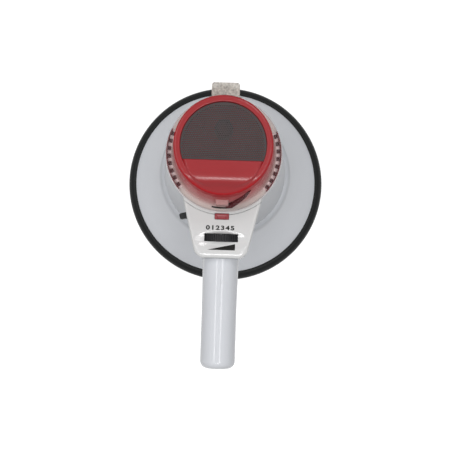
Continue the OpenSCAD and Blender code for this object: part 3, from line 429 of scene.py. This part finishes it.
def rounded(corners, radii, step=0.8):
    """The polygon with each corner turned into an arc of its radius."""
    out = []
    for i, (corner, r) in enumerate(zip(corners, radii)):
        p = Vector(corner)
        a = (Vector(corners[i - 1]) - p).normalized()
        b = (Vector(corners[(i + 1) % len(corners)]) - p).normalized()
        if r == 0:
            out.append(tuple(p))
            continue
        half = a.angle(b) / 2
        centre = p + (a + b).normalized() * (r / math.sin(half))
        u = p + a * (r / math.tan(half)) - centre
        v = p + b * (r / math.tan(half)) - centre
        start = math.atan2(u.y, u.x)
        turn = math.atan2(u.x * v.y - u.y * v.x, u.dot(v))
        n = max(2, math.ceil(abs(turn) * r / step))
        for k in range(n + 1):
            angle = start + turn * k / n
            out.append((centre.x + r * math.cos(angle), centre.y + r * math.sin(angle)))
    return out


def inside(points, loops):
    """Which points an odd number of the loops encloses."""
    x, y = points[:, 0], points[:, 1]
    odd = np.zeros(len(points), bool)
    for loop in loops:
        for (x0, y0), (x1, y1) in zip(loop, loop[1:] + loop[:1]):
            if y0 != y1:
                odd ^= ((y0 > y) != (y1 > y)) & (x < (x1 - x0) * (y - y0) / (y1 - y0) + x0)
    return odd


def edge_distance(points, line):
    """Distance of each point from an open line."""
    best = np.full(len(points), 1e9)
    for p, q in zip(line, line[1:]):
        p, d = np.array(p), np.array(q) - np.array(p)
        t = np.clip((points - p) @ d / max(d @ d, 1e-12), 0, 1)
        best = np.minimum(best, np.linalg.norm(points - p - t[:, None] * d, axis=1))
    return best


def beside(line, steps):
    """Points to the left of a line, at each distance in steps."""
    out = []
    for p, q in zip(line, line[1:]):
        d = Vector(q) - Vector(p)
        if d.length > 1e-6:
            side = Vector((-d.y, d.x)).normalized()
            out += [tuple((Vector(p) + Vector(q)) / 2 + side * s) for s in steps]
    return np.array(out)


def grid(loop, step):
    """Even staggered points over the loop's box."""
    a = np.array(loop)
    low, high = a.min(0), a.max(0)
    rows = np.arange(low[1], high[1], step * STAGGER)
    return np.array([(x + (j % 2) * step / 2, y) for j, y in enumerate(rows)
                     for x in np.arange(low[0], high[0], step)])


def level(z):
    """The same height at all points."""
    return lambda p: np.full(len(p), z)


def between(tops, lows, faces):
    """Closed solid between two sheets of points that share their faces."""
    n = len(tops)
    used = {(f[i], f[(i + 1) % len(f)]) for f in faces for i in range(len(f))}
    walls = [(b, a, a + n, b + n) for a, b in used if (b, a) not in used]
    return tops + lows, faces + [tuple(i + n for i in reversed(f)) for f in faces] + walls


def slab(outline, holes, extra, top, bottom):
    """Closed solid over a flat outline with holes. top and bottom give the heights at points."""
    loops = [outline] + holes
    flat = [p for loop in loops for p in loop]
    edges, start = [], 0
    for loop in loops:
        edges += [(start + i, start + (i + 1) % len(loop)) for i in range(len(loop))]
        start += len(loop)
    if len(extra):
        flat += [tuple(p) for p in extra[inside(extra, loops)]]
    found = geometry.delaunay_2d_cdt([Vector(p) for p in flat], edges, [], 0, 1e-4)
    pts = np.array([tuple(v) for v in found[0]])

    def upward(t):
        u, v = pts[t[1]] - pts[t[0]], pts[t[2]] - pts[t[0]]
        return t if u[0] * v[1] > u[1] * v[0] else t[::-1]

    tris = np.array([upward(list(f)) for f in found[2]])
    tris = tris[inside(pts[tris].mean(axis=1), loops)]
    tops, lows = ([(x, y, z) for (x, y), z in zip(pts, height(pts))] for height in (top, bottom))
    verts, faces = between(tops, lows, [tuple(t) for t in tris.tolist()])
    keep = sorted({i for f in faces for i in f})
    place = {old: new for new, old in enumerate(keep)}
    return [verts[i] for i in keep], [tuple(place[i] for i in f) for f in faces]


def bands(rings, n, wrap=False):
    """Faces between successive rings of n points, with wrap also from the last to the first."""
    return [(k * n + i, k * n + (i + 1) % n,
             (k + 1) % rings * n + (i + 1) % n, (k + 1) % rings * n + i)
            for k in range(rings if wrap else rings - 1) for i in range(n)]


def lathe(profile, turns):
    """Closed ring from a closed profile of (radius, height)."""
    verts = [(r * math.cos(math.tau * k / turns), r * math.sin(math.tau * k / turns), z)
             for k in range(turns) for r, z in profile]
    return verts, [f[::-1] for f in bands(turns, len(profile), wrap=True)]


def tube(line, r, turns):
    """Closed round tube along a line of points."""
    line = [Vector(p) for p in line]
    verts = []
    for i, p in enumerate(line):
        d = (line[min(i + 1, len(line) - 1)] - line[max(i - 1, 0)]).normalized()
        u = d.cross(Vector((0, 0, 1))).normalized()
        v = d.cross(u)
        for k in range(turns):
            angle = math.tau * k / turns
            verts.append(tuple(p + (u * math.cos(angle) + v * math.sin(angle)) * r))
    last = (len(line) - 1) * turns
    ends = [tuple(range(turns))[::-1], tuple(range(last, last + turns))]
    return verts, bands(len(line), turns) + ends


def joined(verts, faces, more_verts, more_faces):
    """Two meshes as one."""
    n = len(verts)
    return verts + more_verts, faces + [tuple(i + n for i in f) for f in more_faces]


def roll(d, r):
    """Fall of a rounded edge of radius r at distance d from it."""
    return r - np.sqrt(np.maximum(r * r - np.maximum(r - d, 0) ** 2, 0))


def soft_min(a, b, k):
    """The lower of two heights, with the corner between them rounded."""
    h = np.maximum(k - np.abs(a - b), 0) / k
    return np.minimum(a, b) - h * h * k / 4


def ease(t):
    """Smooth step from 0 to 1."""
    t = np.clip(t, 0, 1)
    return t * t * (3 - 2 * t)


NO_POINTS = np.zeros((0, 2))


# Control panel: rolled edge, finger dish around the wheel, holes for the wheel and the latch
def half_width(y):
    """Half width of the grip head at a distance towards the handle."""
    return HEAD_HALF_W - (y - HEAD_REF_Y) * HEAD_TAN


def panel_sides():
    """The panel's edge from the left end of its inner arc round the bottom to the right end."""
    low = half_width(HEAD_BOTTOM_Y)
    y = 36.0
    while math.hypot(half_width(y), y) < PANEL_INNER_R:
        y += 0.01
    high = half_width(y)
    corners = [(-high, -y), (-low, -HEAD_BOTTOM_Y), (low, -HEAD_BOTTOM_Y), (high, -y)]
    loop = rounded(corners, [0, HEAD_CORNER, HEAD_CORNER, 0])
    line = dense(loop, 1.0)
    return line[:line.index(loop[-1]) + 1]


SIDES = panel_sides()


def panel_top(p):
    """Height of the panel's face at points."""
    (x, y), (a, b) = DISH_CENTRE, DISH_AXES
    q = np.sqrt(((p[:, 0] - x) / a) ** 2 + ((p[:, 1] - y) / b) ** 2)
    dish = DISH_DEEP * ease((1 - q) / DISH_SLOPE)
    d = edge_distance(p, SIDES)
    reach = PILLOW_SIDE + (PILLOW_LOW - PILLOW_SIDE) * ease((-p[:, 1] - PILLOW_LOW_Y) / PILLOW_RUN)
    pillow = PILLOW_RATE * np.maximum(reach - d, 0) ** 2 / reach
    in_trench = np.abs(np.hypot(p[:, 0], p[:, 1]) - TRENCH_R) < TRENCH_HALF * TRENCH_FLOOR
    return PANEL_Z - roll(d, PANEL_ROUND) - pillow - dish - TRENCH_DEEP * in_trench


def panel_bottom(p):
    """Height of the panel's underside at points: a thin skin with a deeper border."""
    border = edge_distance(p, SIDES) < PANEL_SKIN
    return np.where(border, PANEL_Z - PANEL_T, PANEL_Z - PANEL_SKIN)


def make_panel():
    """Panel with the slot of the wheel and the hole of the latch."""
    (x0, y0), (x1, y1) = SIDES[-1], SIDES[0]
    ends = math.degrees(math.atan2(y0, x0)), math.degrees(math.atan2(y1, x1))
    outline = SIDES + arc(PANEL_INNER_R, *ends)[1:-1]
    hole = block(LATCH_HALF_W + LATCH_GAP, LATCH_Y[0] - LATCH_GAP, LATCH_Y[1] + LATCH_GAP)
    hole = dense(rounded(hole, LATCH_HOLE_CORNERS, 0.3), 0.8)
    slot = block(SLOT_HALF_W, WHEEL_Y - SLOT_HALF_H, WHEEL_Y + SLOT_HALF_H)
    slot = dense(rounded(slot, [SLOT_ROUND] * 4, 0.3), 1.0)
    field = grid(outline, 1.1)
    field = field[edge_distance(field, SIDES) > EDGE_ZONE]
    extra = np.concatenate([beside(SIDES, EDGE_ROWS), field])
    extra = extra[np.abs(np.hypot(extra[:, 0], extra[:, 1]) - TRENCH_R) > TRENCH_HALF + 0.3]
    bows = [arc(TRENCH_R + TRENCH_HALF * share, *TRENCH_ENDS, 0.5) for share in (-1, -0.6, 0.6, 1)]
    extra = np.concatenate([extra] + bows)
    verts, faces = slab(outline, [slot, hole], extra, panel_top, panel_bottom)
    add_piece("panel", verts, faces, PANEL, BODY, ["control_panel"])


def make_prints():
    """Wedge below the wheel and plain numbers above it."""
    loop = dense(WEDGE, 0.9)
    verts, faces = slab(loop, [], grid(loop, 0.9), lambda p: panel_top(p) + PRINT_LIFT,
                        lambda p: panel_top(p) - WEDGE_SUNK)
    add_piece("print_wedge", verts, faces, PRINT, BODY)
    text = bpy.data.curves.new("digits", "FONT")
    text.body = "0 1 2 3 4 5"
    text.offset = DIGITS_BOLD
    text.space_word = DIGITS_SPACE
    maker = bpy.data.objects.new("digits", text)
    bpy.context.scene.collection.objects.link(maker)
    bpy.context.view_layer.update()
    flat = bpy.data.meshes.new_from_object(
        maker.evaluated_get(bpy.context.evaluated_depsgraph_get()))
    pts = np.array([v.co[:2] for v in flat.vertices])
    low, high = pts.min(0), pts.max(0)
    goal_low, goal_high = np.array(DIGITS_LOW), np.array(DIGITS_HIGH)
    pts = goal_low + (pts - low) / (high - low) * (goal_high - goal_low)
    tops = [(x, y, z + PRINT_LIFT) for (x, y), z in zip(pts, panel_top(pts))]
    lows = [(x, y, z - DIGITS_T) for x, y, z in tops]
    verts, faces = between(tops, lows, [tuple(f.vertices) for f in flat.polygons])
    add_piece("print_digits", verts, faces, PRINT, BODY)
    bpy.data.objects.remove(maker)


def make_latch():
    """Latch button with rounded edges and a scoop that opens towards the handle."""
    near, far = LATCH_Y
    outline = dense(rounded(block(LATCH_HALF_W, near, far), [LATCH_CORNER] * 4, 0.25), 0.4)
    ring = outline + outline[:1]

    def top(p):
        across = ease((SCOOP_HALF_W - np.abs(p[:, 0])) / SCOOP_EDGE)
        along = ease((-p[:, 1] - near - SCOOP_EDGE) / (far - near))
        return LATCH_Z[1] - roll(edge_distance(p, ring), LATCH_ROUND) - SCOOP_DEEP * across * along

    extra = np.concatenate([grid(outline, 0.4), beside(ring, (0.1, 0.3))])
    verts, faces = slab(outline, [], extra, top, level(LATCH_Z[0]))
    add_piece("latch", verts, faces, LATCH, "latch", ["latch_button"])


# Microphone head: housing, chin and fine grille
def make_housing():
    """Turned housing whose upper part drops with the crease, with four posts inside."""
    wall = [(MIC_R + (MIC_FACE_R - MIC_R) * t, WALL_Z[0] + (WALL_Z[1] - WALL_Z[0]) * t)
            for t in np.linspace(0, 1, 12)]
    profile = [(AXIS_R, MIC_Z), (FLOOR_RING, MIC_Z), (MIC_R - 0.5, MIC_Z)] + wall
    profile += arc(MIC_EDGE, 0, 90, x=MIC_FACE_R - MIC_EDGE, y=FACE_Z - MIC_EDGE, n=7)
    profile += [(r, FACE_Z) for r in RIM_RINGS]
    profile += arc(MIC_OPEN_EDGE, 90, 180, x=MIC_OPEN_R + MIC_OPEN_EDGE,
                   y=FACE_Z - MIC_OPEN_EDGE, n=4)
    ledge_r, ledge_low = MIC_OPEN_R - LEDGE_W, LEDGE_Z - LEDGE_T
    profile += [(MIC_OPEN_R, LEDGE_Z), (ledge_r, LEDGE_Z), (ledge_r, ledge_low),
                (MIC_INNER_R, ledge_low - 3), (MIC_INNER_R, MIC_Z + MIC_FLOOR),
                (AXIS_R, MIC_Z + MIC_FLOOR)]
    verts, faces = lathe(profile, 200)
    v = np.array(verts)
    share = np.clip((v[:, 2] - BEND_Z[0]) / (BEND_Z[1] - BEND_Z[0]), 0, 1)
    v[:, 2] += soft_min(0.0, (v[:, 1] + CREASE_Y) * CHIN_TAN, CREASE_SOFT) * share
    verts = v.tolist()
    low, high = MIC_Z + MIC_FLOOR - 0.2, MIC_Z + POST_TOP
    post, sides = lathe([(AXIS_R, low), (POST_R, low), (POST_R, high - POST_EDGE),
                         (POST_R - POST_EDGE, high), (AXIS_R, high)], 24)
    for angle in (45, 135, 225, 315):
        x, y = polar(POST_RING, angle)
        verts, faces = joined(verts, faces, [(px + x, py + y, pz) for px, py, pz in post], sides)
    shell = add_piece("mic_shell", verts, faces, RED, COVER, ["mic_housing"])
    paint(shell, [RED_WALL_LIT],
          lambda c, way: int(abs(way.z) < SIDE_STEEP and math.hypot(*c[:2]) > SIDE_R))


def make_chin():
    """Chin with a soft crease, proud of the rim above it and flush below."""
    r = MIC_OPEN_R + 0.1
    side = math.degrees(math.asin(CHIN_Y / r))
    bow = []
    for x, y in arc(r, 180 + side, 360 - side, 0.9):
        wide = 1 + CHIN_FLARE / r * float(ease((-y - CHIN_Y) / (CREASE_Y - CHIN_Y)))
        bow.append((x * wide, y * wide))
    outline = dense(bow, 0.9)
    top_edge = [bow[-1], bow[0]]
    there_and_back = dense(top_edge, 0.9)

    def top(p):
        past = -p[:, 1] - CREASE_Y
        face = soft_min(CHIN_TILT * past / (CREASE_Y - CHIN_Y), -past * CHIN_TAN, CREASE_SOFT)
        proud = CHIN_PROUD * (1 - ease((past - CHIN_FADE) / CHIN_FADE_RUN)) + CHIN_LIFT
        rise = (proud + CHIN_SUNK) * ease(edge_distance(p, bow) / CHIN_EDGE) - CHIN_SUNK
        return FACE_Z + face + rise - roll(edge_distance(p, top_edge), CHIN_ROUND)

    extra = np.concatenate([beside(bow, (0.3, 0.7, 1.1, 1.5, 1.9, 2.4)),
                            beside(there_and_back[:len(there_and_back) // 2 + 1],
                                   (0.06, 0.2, 0.45, 0.75, 1.1)),
                            grid(outline, 0.8)])
    verts, faces = slab(outline, [], extra, top,
                        lambda p: np.minimum(top(p) - CHIN_T, LEDGE_Z + GRILLE_LIFT))
    add_piece("chin", verts, faces, RED, COVER, ["chin_guard"])


def make_grille():
    """Sheet with fine holes above the chin."""
    r, cut = MIC_OPEN_R - GRILLE_GAP, CHIN_Y - GRILLE_GAP
    side = math.degrees(math.asin(cut / r))
    outline = dense(arc(r, -side, 180 + side, 0.8), 0.8)
    hexagon = arc(GRILLE_HOLE, 0, 300, n=5)
    holes = []
    for j in range(-GRILLE_ROWS, GRILLE_ROWS + 1):
        for i in range(-GRILLE_ROWS, GRILLE_ROWS + 1):
            x, y = GRILLE_PITCH * (i + (j % 2) / 2), CAPSULE_UP + GRILLE_PITCH * STAGGER * j
            if math.hypot(x, y) < r - GRILLE_RIM and y > -cut + GRILLE_FOOT:
                holes.append([(x + hx, y + hy) for hx, hy in hexagon])
    low = LEDGE_Z + GRILLE_LIFT
    verts, faces = slab(outline, holes, NO_POINTS, level(low + GRILLE_T), level(low))
    add_piece("grille_sheet", verts, faces, GRILLE, COVER, ["mic_grille"])


# Under the clear cover: tab, cup, painted highlight strips under the comb, lead
def make_tab():
    """Rounded tab at the foot of the cup."""
    outline = dense(rounded(block(TAB_HALF_W, *TAB_Y), [TAB_CORNER, TAB_CORNER, 0, 0], 0.3), 0.8)
    edge = outline + outline[:1]
    verts, faces = slab(outline, [], grid(outline, 0.8),
                        lambda p: TAB_TOP - roll(edge_distance(p, edge), TAB_ROUND),
                        level(FLANGE_TOP - TAB_SUNK))
    add_piece("cup_tab", verts, faces, CUP_TAB, COVER)


def make_cup():
    """Flange with a slit, and a cone that is flush with the head."""
    near, far = SLIT_R
    start, end = -90 - SLIT_HALF, -90 + SLIT_HALF
    slit = dense(arc(far, start, end, 0.5) + arc(near, end, start, 0.5), 0.5)
    rim = arc(FLANGE_R, 0, 360, 1.2)[:-1]
    flange = slab(rim, [slit], grid(rim, 4.0), level(FLANGE_TOP), level(FLANGE_Z))
    wall = [(CUP_FOOT_R + (CUP_TOP_R - CUP_FOOT_R) * t, FLANGE_TOP + (CUP_TOP - FLANGE_TOP) * t)
            for t in np.linspace(0.04, 1, 12)]
    fillet = [(CUP_FOOT_R + out, FLANGE_TOP + up) for out, up in CUP_FILLET]
    inner = CUP_TOP_R - CUP_WALL
    cone = lathe([(inner, fillet[0][1])] + fillet + wall + [(inner, CUP_TOP)], 160)
    cup = add_piece("carrier_cup", *joined(*flange, *cone), CARRIER_REFLECTION_AND_SHADE, COVER, ["mic_carrier"])
    paint(cup, [CUP_FLOOR], lambda c, way: int(way.z < -0.5 and c.z < FLANGE_Z + 0.5))


def make_comb_highlights():
    """Pale strip under each half of the comb, a painted highlight in the gaps between its teeth."""
    near, far = HIGHLIGHT_STRIP_R
    start, end = COMB_MIDDLE - COMB_HALF, COMB_MIDDLE + COMB_HALF
    right = arc(far, start, end) + arc(near, end, start)
    left = [(-x, y) for x, y in reversed(right)]
    for name, outline in (("comb_highlight_right", right), ("comb_highlight_left", left)):
        verts, faces = slab(outline, [], NO_POINTS, level(FLANGE_TOP + HIGHLIGHT_STRIP_HALF_T),
                            level(FLANGE_TOP - HIGHLIGHT_STRIP_HALF_T))
        add_piece(name, verts, faces, COMB_HIGHLIGHT, COVER)


def make_lead():
    """Tube along the route of the lead."""
    share = np.linspace(0, len(LEAD_ROUTE) - 1, 29)
    turn, out, up = (np.interp(share, range(len(LEAD_ROUTE)), part) for part in zip(*LEAD_ROUTE))
    verts, faces = tube([(*polar(r, a), z) for a, r, z in zip(turn, out, up)], LEAD_R, 14)
    add_piece("lead", verts, faces, LEAD, COVER, ["mic_lead"])


# Handle and springs
def make_grip_skin():
    """Even glossy skin over the upper side of the handle."""
    bow = arc(GRIP_ROUND, 0, -90, x=GRIP_R - GRIP_ROUND, y=GRIP_ROUND - GRIP_END_Y, n=10)
    line = [(GRIP_HEAD_R, -GRIP_START_Y), (GRIP_R, -GRIP_EVEN_Y)] + bow
    line.append((GRIP_TIP_R, -GRIP_END_Y))
    outer = [(r + SKIN_LIFT, y if i == 0 else y - SKIN_LIFT) for i, (r, y) in enumerate(line)]
    inner = [(max(r - SKIN_T, GRIP_TIP_R), min(y + SKIN_T, -GRIP_START_Y)) for r, y in line]
    loop = outer + inner[::-1]
    turns = np.radians(np.linspace(-SKIN_SIDE, SKIN_SIDE, 73))
    verts = [(r * math.sin(a), y, GRIP_Z + r * math.cos(a)) for a in turns for r, y in loop]
    n, last = len(loop), len(verts) - len(loop)
    end = [(i, i + 1, n - 2 - i, n - 1 - i) for i in range(len(line) - 1)]
    ends = [f[::-1] for f in end] + [tuple(last + i for i in f) for f in end]
    faces = bands(len(turns), n) + ends
    add_piece("grip_skin", verts, faces, GRIP, BODY)


def make_spring(name, stands_for):
    """Coil in the box of a CAD spring, fixed where it stands."""
    low, high = (Vector(corner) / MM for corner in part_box(stands_for))
    x, y = (low.x + high.x) / 2, (low.y + high.y) / 2
    r = (high.x - low.x) / 2 - SPRING_WIRE
    start, rise = low.z + SPRING_WIRE, high.z - low.z - 2 * SPRING_WIRE
    steps = SPRING_TURNS * SPRING_STEPS
    line = []
    for i in range(steps + 1):
        px, py = polar(r, 360 * i / SPRING_STEPS)
        line.append((x + px, y + py, start + rise * i / steps))
    verts, faces = tube(line, SPRING_WIRE, 8)
    coil = add_piece(name, verts, faces, STEEL, None, [stands_for])
    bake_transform(coil)


make_panel()
make_prints()
make_tab()
make_cup()
make_comb_highlights()
make_lead()
make_grip_skin()
make_spring("latch_coil", "latch_spring")
make_spring("trigger_coil", "trigger_spring")
make_latch()
make_housing()
make_chin()
make_grille()


def cover_slot(c, _):
    """The lug of the clear cover is frosted, and its foot carries a painted highlight."""
    if c.y > LUG_UP and c.z < LUG_TOP:
        return 1
    return 2 if math.hypot(*c[:2]) < FOOT_R and c.z < FOOT_TOP else 0


paint(nodes["rear_cover"], [FROSTED, FOOT_HIGHLIGHT], cover_slot)
# The wall of the comb is paler than its teeth
paint(nodes["comb_ring"], [COMB_WALL], lambda c, _: int(math.hypot(*c[:2]) > COMB_WALL_R))


# Floor, world, lamps and camera, in metres
FLOOR_HALF, FLOOR_DROP = 6, 0.0002
FLOOR_WHITE, FLOOR_GLOW, FLOOR_BOUNCE = 0.42, 0.80, 0.25
HORIZON, ZENITH = 0.10, 0.73
SKY = (0.97, 0.98, 1.0, 1)
LENS, SENSOR = 69.307, 36
CAMERA_PLACE = (0.009094, -0.107770, 0.999554)
CAMERA_TURN = (3.41325, 0.28236, 1.85908)
ALONG_HANDLE = (0, 1, 0)


def seen_directly(tree):
    """1 for rays from the camera, and for what gloss and glass show of them."""
    path = node(tree, "ShaderNodeLightPath")
    a = node(tree, "ShaderNodeMath", operation="MAXIMUM")
    b = node(tree, "ShaderNodeMath", operation="MAXIMUM")
    tree.links.new(path.outputs["Is Camera Ray"], a.inputs[0])
    tree.links.new(path.outputs["Is Glossy Ray"], a.inputs[1])
    tree.links.new(a.outputs[0], b.inputs[0])
    tree.links.new(path.outputs["Is Transmission Ray"], b.inputs[1])
    return b.outputs[0]


def split_by_ray(tree, lights, shows, output):
    """What lights the part, and what is seen in its place."""
    mix = node(tree, "ShaderNodeMixShader")
    tree.links.new(seen_directly(tree), mix.inputs[0])
    tree.links.new(lights.outputs[0], mix.inputs[1])
    tree.links.new(shows.outputs[0], mix.inputs[2])
    tree.links.new(mix.outputs[0], node(tree, output).inputs["Surface"])


def make_floor():
    """White floor that bounces little light onto the part."""
    h = FLOOR_HALF
    me = bpy.data.meshes.new("floor")
    me.from_pydata([(-h, -h, 0), (h, -h, 0), (h, h, 0), (-h, h, 0)], [], [(0, 1, 2, 3)])
    o = bpy.data.objects.new("floor", me)
    bpy.context.scene.collection.objects.link(o)
    mat = bpy.data.materials.new("floor")
    mat.use_nodes = True
    tree = mat.node_tree
    tree.nodes.clear()
    plain = node(tree, "ShaderNodeBsdfDiffuse", Color=(FLOOR_BOUNCE, FLOOR_BOUNCE, FLOOR_BOUNCE, 1))
    lit = node(tree, "ShaderNodeBsdfDiffuse", Color=(FLOOR_WHITE, FLOOR_WHITE, FLOOR_WHITE, 1))
    glow = node(tree, "ShaderNodeEmission", Strength=FLOOR_GLOW)
    both = node(tree, "ShaderNodeAddShader")
    tree.links.new(lit.outputs[0], both.inputs[0])
    tree.links.new(glow.outputs[0], both.inputs[1])
    split_by_ray(tree, plain, both, "ShaderNodeOutputMaterial")
    me.materials.append(mat)
    o.location.z = -FLOOR_DROP


def make_world():
    """Sky that is brighter overhead and looks white."""
    world = bpy.data.worlds.new("studio")
    bpy.context.scene.world = world
    world.use_nodes = True
    tree = world.node_tree
    tree.nodes.clear()
    light = node(tree, "ShaderNodeBackground", Color=SKY)
    way = node(tree, "ShaderNodeSeparateXYZ")
    tree.links.new(node(tree, "ShaderNodeTexCoord").outputs["Generated"], way.inputs[0])
    tree.links.new(spread(tree, way.outputs["Z"], HORIZON, ZENITH, 0, 1), light.inputs["Strength"])
    white = node(tree, "ShaderNodeBackground", Color=(1, 1, 1, 1), Strength=1.0)
    split_by_ray(tree, light, white, "ShaderNodeOutputWorld")


def lamp(name, place, aim, size, power, along=None):
    """Area lamp that points at aim, with its second side along a direction where one is given."""
    data = bpy.data.lights.new(name, "AREA")
    data.shape = "RECTANGLE"
    data.size, data.size_y = size
    data.energy = power
    o = bpy.data.objects.new(name, data)
    bpy.context.scene.collection.objects.link(o)
    o.location = place
    way = Vector(aim) - Vector(place)
    o.rotation_euler = way.to_track_quat("-Z", "Y").to_euler()
    if along:
        z = -way.normalized()
        x = Vector(along).cross(z).normalized()
        o.rotation_euler = Matrix((x, z.cross(x), z)).transposed().to_euler()
    o.visible_camera = False


def make_camera():
    """Camera solved from the circles of the photograph."""
    data = bpy.data.cameras.new("camera")
    data.sensor_width = SENSOR
    data.lens = LENS
    data.clip_end = 50
    o = bpy.data.objects.new("camera", data)
    bpy.context.scene.collection.objects.link(o)
    o.location = CAMERA_PLACE
    o.rotation_euler = Euler([math.radians(a) for a in CAMERA_TURN], "XYZ")
    bpy.context.scene.camera = o


make_floor()
make_world()
make_camera()
lamp("key", (-1.0, 0.5, 1.6), aim=(0, 0, 0.15), size=(0.7, 0.7), power=4.2)
for name, x in (("strip_left", -0.58), ("strip_right", 0.34)):
    lamp(name, (x, -0.2, 1.60), aim=(0, -0.2, 0.2), size=(0.18, 0.80), power=1.9, along=ALONG_HANDLE)
lamp("front", (0.05, -0.67, 1.72), aim=(0, 0, 0.25), size=(1.0, 0.17), power=7.6)
lamp("right", (0.30, 0.62, 1.55), aim=(0, 0, 0.2), size=(0.3, 0.3), power=2.6)
bpy.context.scene.view_settings.view_transform = "Standard"
